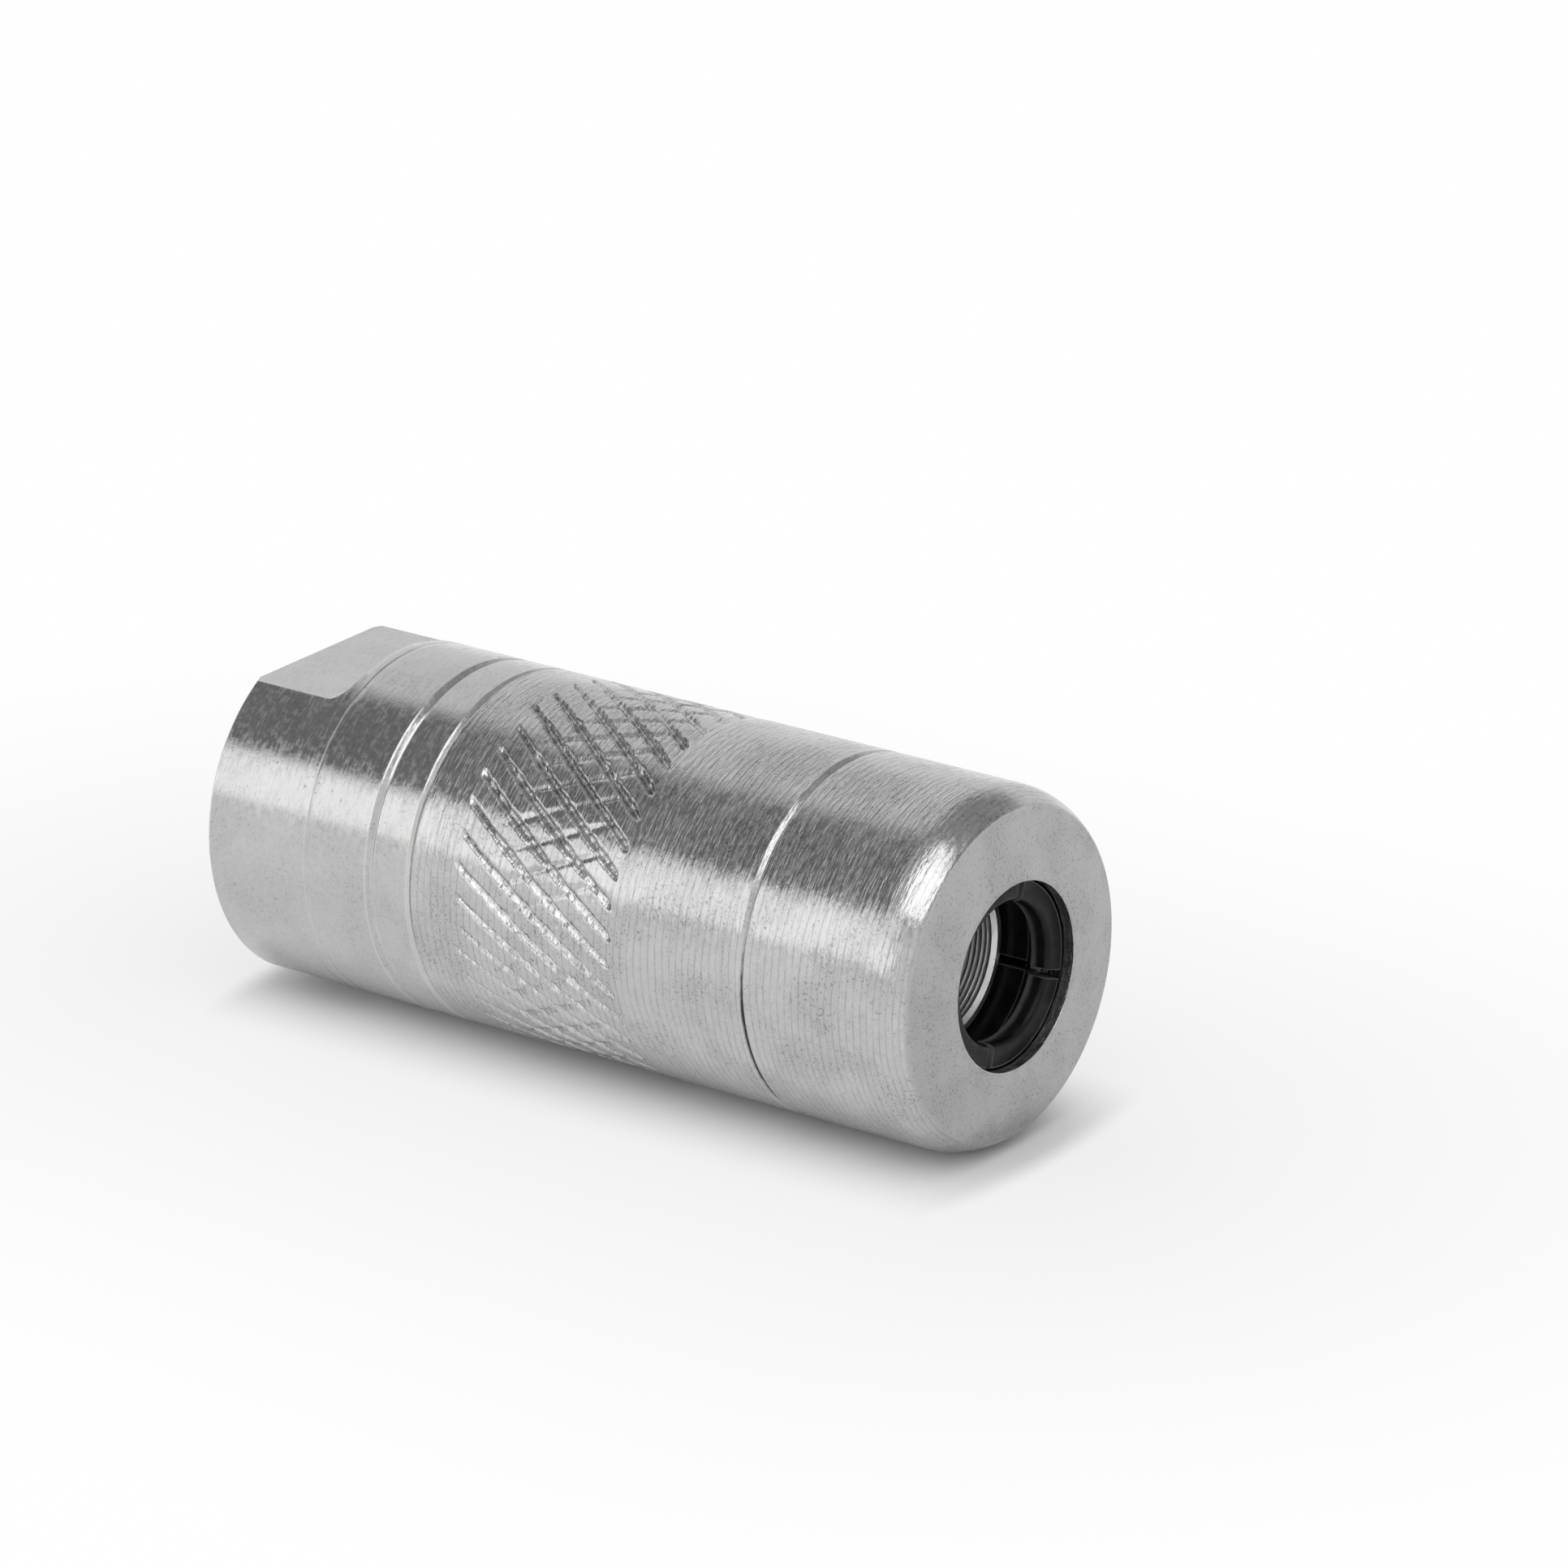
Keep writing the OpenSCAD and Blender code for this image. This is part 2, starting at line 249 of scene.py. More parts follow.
def swept(
    bm: BMesh,
    section: list,
    angle: float,
    steps: int,
    rise: float = 0.0,
    merge: bool = False,
) -> list:
    """Sweeps a section about the axis.

    Args:
        bm: Mesh that holds the section.
        section: Its vertices and edges.
        angle: Angle that is swept.
        steps: Number of steps.
        rise: Shift along the axis at each step.
        merge: Whether the last section joins the first.

    Returns:
        Vertices and edges of the last section.
    """
    made = bmesh.ops.spin(
        bm,
        geom=section,
        cent=CENTRE,
        axis=AXIS,
        dvec=AXIS * rise,
        angle=angle,
        steps=steps,
        use_merge=merge,
        use_duplicate=False,
    )
    return made["geom_last"]


def spun(
    profile: Sequence[Point], steps: int, start: float = 0.0, sweep: float = FULL_TURN
) -> BMesh:
    """Spins a closed profile about the axis.

    Args:
        profile: Points as (place along the axis, radius).
        steps: Number of steps in the sweep, in a full turn a multiple of the sectors.
        start: Angle of the first profile.
        sweep: Angle that is swept. A full turn is closed on itself.

    Returns:
        The mesh in millimetres. A part of a turn is left open at both ends.
    """
    bm = bmesh.new()
    ring = [bm.verts.new(placed(x, r, start)) for x, r in profile]
    edges = [bm.edges.new(pair) for pair in zip(ring, ring[1:] + ring[:1])]
    doublings = SPIN_DOUBLINGS if sweep >= FULL_TURN else 0
    sector = sweep / 2**doublings
    swept(bm, ring + edges, sector, steps // 2**doublings)
    for doubling in range(doublings):
        made = bmesh.ops.duplicate(bm, geom=bm.verts[:] + bm.edges[:] + bm.faces[:])
        copied = [part for part in made["geom"] if isinstance(part, bmesh.types.BMVert)]
        turn = Matrix.Rotation(sector * 2**doubling, 3, AXIS)
        bmesh.ops.rotate(bm, cent=CENTRE, matrix=turn, verts=copied)
    bmesh.ops.remove_doubles(bm, verts=bm.verts, dist=MERGE)
    bmesh.ops.recalc_face_normals(bm, faces=bm.faces)
    return bm


def close_ends(bm: BMesh) -> None:
    """Fills the open ends of a mesh and turns its faces outwards.

    Args:
        bm: Mesh to change.
    """
    ends = [e for e in bm.edges if e.is_boundary]
    if ends:
        bmesh.ops.holes_fill(bm, edges=ends, sides=0)
    bmesh.ops.recalc_face_normals(bm, faces=bm.faces)


def soften(bm: BMesh, width: float, sharper_than: float = 25.0) -> None:
    """Bevels the sharp edges of a mesh and marks them as worn.

    Args:
        bm: Mesh to change.
        width: Offset of the bevel.
        sharper_than: Angle between faces, in degrees, from which an edge counts as sharp.
    """
    wear = bm.verts.layers.float.new(Mask.WEAR.value)
    limit = math.radians(sharper_than)
    sharp = [e for e in bm.edges if e.is_manifold and e.calc_face_angle() > limit]
    made = bmesh.ops.bevel(
        bm,
        geom=sharp,
        offset=width,
        offset_type="OFFSET",
        segments=BEVEL_SEGMENTS,
        profile=0.5,
        affect="EDGES",
        clamp_overlap=True,
        material=-1,
    )
    for vert in made["verts"]:
        vert[wear] = 1.0


class Wiring:
    """Adds nodes to a shader tree and links them in short calls."""

    def __init__(self, tree: bpy.types.NodeTree) -> None:
        """Keeps the tree that the nodes go into."""
        self.tree = tree

    def node(self, kind: str, *values: object, **settings: object) -> bpy.types.Node:
        """Adds a node.

        Args:
            kind: Blender's name of the node's type.
            values: Sockets or constants for its first inputs, in order.
            settings: Properties to set on it.

        Returns:
            The new node.
        """
        made = self.tree.nodes.new(kind)
        for key, value in settings.items():
            setattr(made, key, value)
        for target, value in zip(made.inputs, values):
            self.feed(target, value)
        return made

    def feed(self, target: Socket, source: object) -> None:
        """Links a socket into a target, or sets a constant on it.

        Args:
            target: Input socket.
            source: Output socket, number, colour or vector.
        """
        if isinstance(source, Socket):
            self.tree.links.new(source, target)
        else:
            target.default_value = source

    def math(self, operation: str, *values: object, clamp: bool = False) -> Socket:
        """Gives the result of a Math node, clamped to 0 to 1 where asked for."""
        return self.node("ShaderNodeMath", *values, operation=operation, use_clamp=clamp).outputs[0]

    def times(self, first: object, second: object) -> Socket:
        """Multiplies two values."""
        return self.math("MULTIPLY", first, second)

    def ease(self, value: Socket, low: float, high: float, to: Point = (0.0, 1.0)) -> Socket:
        """Maps the range from low to high smoothly onto another range."""
        given = (value, low, high, *to)
        return self.node("ShaderNodeMapRange", *given, interpolation_type="SMOOTHSTEP").outputs[0]

    def stretch(self, vector: Socket, factors: Sequence[float]) -> Socket:
        """Multiplies a vector part by part."""
        return self.node("ShaderNodeVectorMath", vector, factors, operation="MULTIPLY").outputs[0]

    def split(self, vector: Socket) -> tuple[Socket, Socket, Socket]:
        """Gives the three parts of a vector."""
        parts = self.node("ShaderNodeSeparateXYZ", vector).outputs
        return parts[0], parts[1], parts[2]

    def length(self, vector: Socket) -> Socket:
        """Gives the length of a vector."""
        return self.node("ShaderNodeVectorMath", vector, operation="LENGTH").outputs["Value"]

    def mask(self, mask: Mask) -> Socket:
        """Gives a mask that the piece keeps on its vertices."""
        return self.node("ShaderNodeAttribute", attribute_name=mask.value).outputs["Fac"]

    def noise(self, vector: Socket, scale: object, detail: float = 2.0) -> Socket:
        """Gives a noise from 0 to 1, by its waves and its octaves."""
        # The second input is the fourth dimension, which a noise in space leaves aside
        return self.node("ShaderNodeTexNoise", vector, 0.0, scale, detail).outputs[0]

    def blend(self, share: object, first: object, second: object) -> Socket:
        """Mixes two colours.

        Args:
            share: Share of the second colour.
            first: First colour, as a socket or three numbers.
            second: Second colour, as a socket or three numbers.

        Returns:
            The mixed colour.
        """
        made = self.node("ShaderNodeMix", share, data_type="RGBA")
        for target, colour in ((made.inputs[6], first), (made.inputs[7], second)):
            self.feed(target, colour if isinstance(colour, Socket) else (*colour, 1.0))
        return made.outputs[2]

    def group(self, tree: bpy.types.NodeTree, *values: object) -> bpy.types.Node:
        """Places a node group and feeds its inputs in order."""
        return self.node("ShaderNodeGroup", *values, node_tree=tree)


class SurfaceEffect:
    """A shader node group with named inputs and outputs, built once for all materials."""

    name = "effect"
    takes: tuple[tuple[str, str], ...] = ()
    gives: tuple[str, ...] = ()

    @classmethod
    def tree(cls) -> bpy.types.NodeTree:
        """Gives the group's tree, and builds it on the first call.

        Returns:
            The node tree.
        """
        found = bpy.data.node_groups.get(cls.name)
        if found is not None:
            return found
        made = bpy.data.node_groups.new(cls.name, "ShaderNodeTree")
        for name, kind in cls.takes:
            made.interface.new_socket(name, in_out="INPUT", socket_type=kind)
        for name in cls.gives:
            made.interface.new_socket(name, in_out="OUTPUT", socket_type="NodeSocketFloat")
        wires = Wiring(made)
        inputs = wires.node("NodeGroupInput")
        outputs = wires.node("NodeGroupOutput")
        results = cls.wire(wires, {name: inputs.outputs[name] for name, _ in cls.takes})
        for name, socket in results.items():
            wires.feed(outputs.inputs[name], socket)
        return made

    @classmethod
    def wire(cls, wires: Wiring, given: dict[str, Socket]) -> dict[str, Socket]:
        """Builds the nodes of the effect.

        Args:
            wires: Where the nodes go.
            given: The group's inputs by name.

        Returns:
            The group's outputs by name.
        """
        raise NotImplementedError


class TurningMarks(SurfaceEffect):
    """Feed lines that a lathe tool leaves round the axis, broken into dashes, and finer streaks.

    Waves are counted per millimetre along X, Y and Z.
    """

    name = "turning_marks"
    takes = (
        ("Place", "NodeSocketVector"),
        ("Pitch", "NodeSocketFloat"),
        ("Share", "NodeSocketFloat"),
    )
    gives = ("Height", "Line", "Streak")
    wander_waves = (0.5, 0.3, 0.3)
    dash_waves = (3.0, 1.1, 1.1)
    dash_range = (0.3, 0.7)
    dash_depth = (0.4, 1.15)
    streak_waves = (9.0, 1.6, 1.6)
    streak_range = (0.4, 0.72)
    line_power = 3.0

    @classmethod
    def wire(cls, wires: Wiring, given: dict[str, Socket]) -> dict[str, Socket]:
        """Builds the lines from the place along the axis. See the base class."""
        place = given["Place"]
        radial = wires.length(wires.stretch(place, (0.0, 1.0, 1.0)))
        feed = wires.math("SUBTRACT", wires.split(place)[0], radial)
        wander = wires.noise(wires.stretch(place, cls.wander_waves), 1.0, 1.0)
        turns = wires.math("ADD", wires.math("DIVIDE", feed, given["Pitch"]), wander)
        aside = wires.math("MULTIPLY_ADD", wires.math("FRACT", turns), 2.0, -1.0)
        scallop = wires.times(aside, aside)
        dashes = wires.noise(wires.stretch(place, cls.dash_waves), 1.0)
        uneven = wires.times(wires.ease(dashes, *cls.dash_range, cls.dash_depth), given["Share"])
        streaks = wires.noise(wires.stretch(place, cls.streak_waves), 1.0)
        return {
            "Height": wires.times(scallop, uneven),
            "Line": wires.times(wires.math("POWER", scallop, cls.line_power), uneven),
            "Streak": wires.ease(streaks, *cls.streak_range),
        }


class Plating(SurfaceEffect):
    """Uneven tone of a plated surface, from wide clouds to a fine grain.

    A noise is given by its waves per millimetre, its octaves and the range that is eased to 0 to 1.
    """

    name = "plating"
    takes = (("Place", "NodeSocketVector"), ("Blotch Scale", "NodeSocketFloat"))
    gives = ("Blotch", "Cloud", "Pit", "Speck", "Grain")
    blotch_octaves = 3.0
    cloud = (0.45, 4.0, 0.38, 0.66)
    pit = (5.5, 2.0, 0.66, 0.74)
    pit_patch = (0.8, 1.0, 0.42, 0.6)
    speck = (9.0, 2.0, 0.57, 0.68)
    grain = (20.0, 3.0)

    @classmethod
    def wire(cls, wires: Wiring, given: dict[str, Socket]) -> dict[str, Socket]:
        """Builds one noise for each kind of mark. See the base class."""
        place = given["Place"]

        def spots(waves: float, octaves: float, low: float, high: float) -> Socket:
            """Gives a noise, eased over its range."""
            return wires.ease(wires.noise(place, waves, octaves), low, high)

        return {
            "Blotch": wires.noise(place, given["Blotch Scale"], cls.blotch_octaves),
            "Cloud": spots(*cls.cloud),
            "Pit": wires.times(spots(*cls.pit), spots(*cls.pit_patch)),
            "Speck": spots(*cls.speck),
            "Grain": wires.noise(place, *cls.grain),
        }


class PatchyMask(SurfaceEffect):
    """Breaks a mask up with noise, for grime and painted shade in and beside grooves and for wear
    along edges.
    """

    name = "patchy_mask"
    takes = (
        ("Place", "NodeSocketVector"),
        ("Mask", "NodeSocketFloat"),
        ("Patch Scale", "NodeSocketFloat"),
    )
    gives = ("Share",)
    patch_octaves = 3.0
    patch_reach = 1.2
    mask_gain = 1.3
    clip = (0.05, 0.8)

    @classmethod
    def wire(cls, wires: Wiring, given: dict[str, Socket]) -> dict[str, Socket]:
        """Adds noise to the mask before it is clipped. See the base class."""
        patches = wires.noise(given["Place"], given["Patch Scale"], cls.patch_octaves)
        lifted = wires.math("MULTIPLY_ADD", patches, cls.patch_reach, -cls.patch_reach / 2)
        raised = wires.math("MULTIPLY_ADD", given["Mask"], cls.mask_gain, lifted)
        return {"Share": wires.ease(wires.times(raised, given["Mask"]), *cls.clip)}


@dataclass(frozen=True)
class Layers:
    """What the material of a finish is wired from."""

    wires: Wiring
    shader: bpy.types.Node
    marks: bpy.types.Node
    plating: bpy.types.Node
    plain: Socket
    grime_and_shade: Socket
    wear: Socket


@dataclass(frozen=True)
class Finish:
    """Surface of a piece. Heights are micrometres, sizes are millimetres.

    What grime and painted shade, specks, pits and roughness have in common on all finishes stands
    first.
    """

    dark_tone: ClassVar[float] = 0.35
    pit_tone: ClassVar[float] = 0.5
    blotch_range: ClassVar[Point] = (0.3, 0.7)
    speck_base: ClassVar[float] = 0.3
    speck_in_cloud: ClassVar[float] = 0.9
    speck_on_plain: ClassVar[float] = 0.3
    rough_range: ClassVar[Point] = (0.42, 0.85)
    rough_streak: ClassVar[float] = 0.3
    rough_grime_and_shade: ClassVar[float] = 0.3
    grime_and_shade_cover: ClassVar[float] = 0.9
    patch_scale: ClassVar[float] = 2.0
    # Colour of grime, and of the painted shade along the knurl's rims
    grime_and_shade_colour: ClassVar[Colour] = (0.02, 0.02, 0.019)

    name: str
    colour: Colour
    roughness: Point
    metallic: float = 1.0
    specular: float = 0.5
    mark_pitch: float = 0.34
    mark_height: float = 0.0
    mark_tone: float = 0.0
    streak_height: float = 0.0
    blotch_size: float = 0.8
    speck_tone: float = 0.0
    # Painted shade: tone of the plain nose face
    plain_shaded_tone: float = 1.0
    cloud_tone: float = 0.0
    blotch_tone: float = 0.1
    blotch_height: float = 0.0
    pit_height: float = 0.0
    grain_height: float = 0.5
    wear_colour: Colour = (0.7, 0.7, 0.69)
    wear_share: float = 0.0

    def material(self) -> bpy.types.Material:
        """Gives the material of this finish, and builds it on the first call.

        Returns:
            The material.
        """
        found = bpy.data.materials.get(self.name)
        if found is not None:
            return found
        made = bpy.data.materials.new(self.name)
        made.use_nodes = True
        wires = Wiring(made.node_tree)
        shader = made.node_tree.nodes["Principled BSDF"]
        shader.inputs["Specular IOR Level"].default_value = self.specular
        place = wires.stretch(wires.node("ShaderNodeTexCoord").outputs["Object"], (1 / MM,) * 3)
        plain = wires.mask(Mask.PLAIN)
        lined = wires.math("SUBTRACT", 1.0, plain)
        marks = wires.group(TurningMarks.tree(), place, self.mark_pitch, lined)
        plating = wires.group(Plating.tree(), place, 1 / self.blotch_size)
        grime_and_shade, wear = (self.patchy_share(wires, place, mask) for mask in (Mask.GRIME_AND_SHADE, Mask.WEAR))
        layers = Layers(wires, shader, marks, plating, plain, grime_and_shade, wear)
        self.tint(layers)
        self.roughen(layers)
        self.emboss(layers)
        return made

    def patchy_share(self, wires: Wiring, place: Socket, mask: Mask) -> Socket:
        """Gives the share of the surface that one of the piece's masks covers, broken up."""
        given = (place, wires.mask(mask), self.patch_scale)
        return wires.group(PatchyMask.tree(), *given).outputs["Share"]

    def toned(self, tone: float) -> Colour:
        """Gives the finish's colour, made lighter or darker by a factor."""
        return tuple(min(1.0, part * tone) for part in self.colour)

    def tint(self, on: Layers) -> None:
        """Wires the base colour: blotches, darker marks, worn edges, then grime and painted shade
        over all.

        Args:
            on: What the material is wired from.
        """
        wires, plating = on.wires, on.plating.outputs
        mottled = wires.ease(plating["Blotch"], *self.blotch_range)
        dull, pale = self.toned(1 - self.blotch_tone), self.toned(1 + self.blotch_tone)
        colour = wires.blend(mottled, dull, pale)
        # Painted shade: the plain nose face darker
        colour = wires.blend(on.plain, colour, self.toned(self.plain_shaded_tone))
        dotted = wires.math("MULTIPLY_ADD", plating["Cloud"], self.speck_in_cloud, self.speck_base)
        dotted = wires.math("MULTIPLY_ADD", on.plain, self.speck_on_plain, dotted)
        dotted = wires.math("MULTIPLY", plating["Speck"], dotted, clamp=True)
        for share, tone in (
            (plating["Cloud"], self.cloud_tone),
            (on.marks.outputs["Line"], self.mark_tone),
            (dotted, self.speck_tone),
            (plating["Pit"], self.pit_tone),
        ):
            colour = wires.blend(wires.times(share, tone), colour, self.toned(self.dark_tone))
        colour = wires.blend(wires.times(on.wear, self.wear_share), colour, self.wear_colour)
        # Grime and painted shade: the dark colour over all that the mask covers
        colour = wires.blend(on.grime_and_shade, colour, self.grime_and_shade_colour)
        wires.feed(on.shader.inputs["Base Color"], colour)
        if self.metallic > 0:
            covered = -self.grime_and_shade_cover * self.metallic
            clean = wires.math("MULTIPLY_ADD", on.grime_and_shade, covered, self.metallic)
            wires.feed(on.shader.inputs["Metallic"], clean)

    def roughen(self, on: Layers) -> None:
        """Wires the roughness from blotches, streaks, and grime and painted shade.

        Args:
            on: What the material is wired from.
        """
        streak, blotch = on.marks.outputs["Streak"], on.plating.outputs["Blotch"]
        uneven = on.wires.math("MULTIPLY_ADD", streak, self.rough_streak, blotch)
        rough = on.wires.ease(uneven, *self.rough_range, self.roughness)
        dusty = on.wires.math("MULTIPLY_ADD", on.grime_and_shade, self.rough_grime_and_shade, rough)
        on.wires.feed(on.shader.inputs["Roughness"], dusty)

    def emboss(self, on: Layers) -> None:
        """Wires the bump from turning marks, streaks, blotches, pits and grain.

        Args:
            on: What the material is wired from.
        """
        wires, marks, plating = on.wires, on.marks.outputs, on.plating.outputs
        height = wires.times(marks["Height"], self.mark_height)
        for source, scale in (
            (marks["Streak"], self.streak_height),
            (plating["Blotch"], self.blotch_height),
            (plating["Pit"], -self.pit_height),
            (plating["Grain"], self.grain_height),
        ):
            height = wires.math("MULTIPLY_ADD", source, scale, height)
        bump = wires.node("ShaderNodeBump", 1.0, MICRON)
        wires.feed(bump.inputs["Height"], height)
        wires.feed(on.shader.inputs["Normal"], bump.outputs["Normal"])


ZINC_TURNED = Finish(
    "zinc_turned",
    colour=(0.55, 0.55, 0.547),
    roughness=(0.11, 0.29),
    mark_height=6.0,
    mark_tone=0.5,
    streak_height=8.0,
    speck_tone=0.6,
    # Painted shade: the nose face darker
    plain_shaded_tone=0.76,
    cloud_tone=0.2,
    blotch_size=0.3,
    blotch_tone=0.04,
    blotch_height=1.5,
    pit_height=3.0,
    grain_height=1.5,
    wear_share=0.12,
)
ZINC_SMOOTH = Finish(
    "zinc_smooth",
    colour=(0.535, 0.535, 0.532),
    roughness=(0.11, 0.3),
    mark_pitch=0.26,
    mark_height=1.2,
    mark_tone=0.04,
    streak_height=1.6,
    speck_tone=0.3,
    cloud_tone=0.1,
    blotch_size=0.26,
    blotch_tone=0.04,
    blotch_height=4.0,
    pit_height=3.0,
    grain_height=1.0,
    wear_share=0.4,
)
BLACK_OXIDE = Finish(
    "black_oxide",
    colour=(0.005, 0.005, 0.0053),
    roughness=(0.3, 0.5),
    metallic=0.0,
    specular=0.2,
    mark_pitch=0.28,
    mark_height=2.0,
    blotch_tone=0.4,
    blotch_height=3.0,
    grain_height=1.0,
    wear_colour=(0.16, 0.16, 0.16),
    wear_share=0.6,
)
BRIGHT_TURNED = Finish(
    "bright_turned",
    colour=(0.78, 0.78, 0.77),
    roughness=(0.38, 0.5),
    mark_pitch=0.17,
    mark_height=6.0,
    mark_tone=0.2,
    streak_height=3.0,
    blotch_tone=0.05,
    wear_share=0.6,
)
SPRING_WIRE = Finish(
    "spring_wire",
    colour=(0.34, 0.33, 0.32),
    roughness=(0.22, 0.38),
    mark_pitch=0.2,
    mark_height=0.6,
    blotch_size=0.5,
    blotch_tone=0.2,
)
BALL_STEEL = Finish(
    "ball_steel",
    colour=(0.66, 0.66, 0.65),
    roughness=(0.05, 0.12),
    mark_height=0.1,
    blotch_size=1.5,
    blotch_tone=0.05,
    grain_height=0.2,
)
RETAINER_BRASS = Finish(
    "retainer_brass",
    colour=(0.62, 0.45, 0.18),
    roughness=(0.2, 0.35),
    mark_height=1.5,
    blotch_size=0.7,
    blotch_tone=0.15,
    wear_share=0.4,
)
NITRILE_RUBBER = Finish(
    "nitrile_rubber",
    colour=(0.018, 0.018, 0.018),
    roughness=(0.42, 0.6),
    metallic=0.0,
    mark_height=1.0,
    blotch_size=0.6,
    blotch_tone=0.3,
    grain_height=3.0,
)


@dataclass(frozen=True)
class Piece:
    """One finished mesh: its name, its CAD node, the body that carries it and its slot."""

    name: str
    node: str
    body: str
    slot: Slot

    def finished(self, bm: BMesh, finish: Finish, sharp: float = 40.0) -> bpy.types.Object:
        """Turns a mesh in millimetres into the object that stands for the CAD node.

        Args:
            bm: The mesh. It is freed.
            finish: Its finish.
            sharp: Angle between faces, in degrees, above which an edge is shaded sharp.

        Returns:
            The object, at the origin, in metres.
        """
        bmesh.ops.scale(bm, vec=(MM, MM, MM), verts=bm.verts)
        mesh = bpy.data.meshes.new(self.name)
        bm.to_mesh(mesh)
        bm.free()
        mesh.shade_smooth()
        mesh.set_sharp_from_angle(angle=math.radians(sharp))
        mesh.materials.append(finish.material())
        made = linked(self.name, mesh)
        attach(made, self.body)
        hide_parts(self.node)
        log.info("%s: %d faces on %s", self.name, len(mesh.polygons), self.body)
        return made


@dataclass(frozen=True)
class KnurlGrooves:
    """One family of slanting grooves that a knurling wheel rolls into the sleeve.

    The grooves pass through a place (along the axis, degrees round it), grow from a ragged start
    to their full size and end in a rounded tip. Lean moves their bottom off the middle, and
    notches narrow them at even distances. A swell has its waves per millimetre, its shift from
    groove to groove and its strength.
    """

    start_shift: ClassVar[float] = 3.7
    end_shift: ClassVar[float] = 5.3
    end_ragged: ClassVar[float] = 0.35
    swells: ClassVar[tuple[tuple[float, ...], ...]] = ((0.9, 7.1, 0.3), (3.1, 2.7, 0.2))
    notch_shift: ClassVar[float] = 0.37
    notch_from: ClassVar[float] = 0.36
    notch_depth: ClassVar[float] = 0.2

    count: int
    slope: float
    through: Point
    start: float
    full: float
    end: float
    width: float
    depth: float
    ragged: float
    seed: float
    thin: float = 0.4
    tip: float = 0.22
    lean: float = 0.0
    notch_l: float = 0.0
    rim: float = 0.3

    def size_at(self, along: float, start: float, key: int) -> float:
        """Size of one groove at a place along it.

        Args:
            along: Place along the axis.
            start: Where the groove starts.
            key: Number of the groove.

        Returns:
            Share of the full size.
        """
        size = self.thin + (1 - self.thin) * eased(start, self.full, along)
        for waves, shift, strength in self.swells:
            size *= 1 + strength * noise.noise((along * waves, key * shift, self.seed))
        if self.notch_l > 0:
            beat = abs((along / self.notch_l + key * self.notch_shift) % 1 - 0.5)
            size *= 1 - self.notch_depth * eased(self.notch_from, 0.5, beat)
        return size

    def cut(self, along: float, angle: float, radius: float) -> Point:
        """Depth of the nearest groove at a place on the sleeve, and painted shade along its rims.

        Args:
            along: Place along the axis.
            angle: Angle round the axis.
            radius: Radius of the sleeve.

        Returns:
            Depth below the plain surface, and share of painted shade along the groove's rims.
        """
        pitch = FULL_TURN * radius / self.count
        x, degrees = self.through
        lead = radius * (angle - math.radians(degrees)) - self.slope * (along - x)
        groove = round(lead / pitch)
        across = (lead - groove * pitch) / math.hypot(1, self.slope)
        key = groove % self.count
        early = noise.noise((key * self.start_shift, self.seed, 0.0))
        late = noise.noise((key * self.end_shift, 0.0, self.seed))
        start = self.start + self.ragged * early
        end = self.end + self.end_ragged * self.ragged * late
        if not start < along < end:
            return 0.0, 0.0
        size = self.size_at(along, start, key)
        rest = max(0.0, along - (end - self.tip)) / self.tip
        half = self.width / 2 * size * math.sqrt(max(0.0, 1 - rest * rest))
        if abs(across) >= half * (1 + self.rim):
            return 0.0, 0.0
        place = across / half
        # Painted shade: a dark line along each rim of the groove
        patchy_share = 1 - min(1.0, abs(abs(place) - 1) / self.rim)
        side = 1 if place > self.lean else -1
        wall = (1 - side * place) / (1 - side * self.lean)
        return self.depth * size * max(0.0, wall), patchy_share


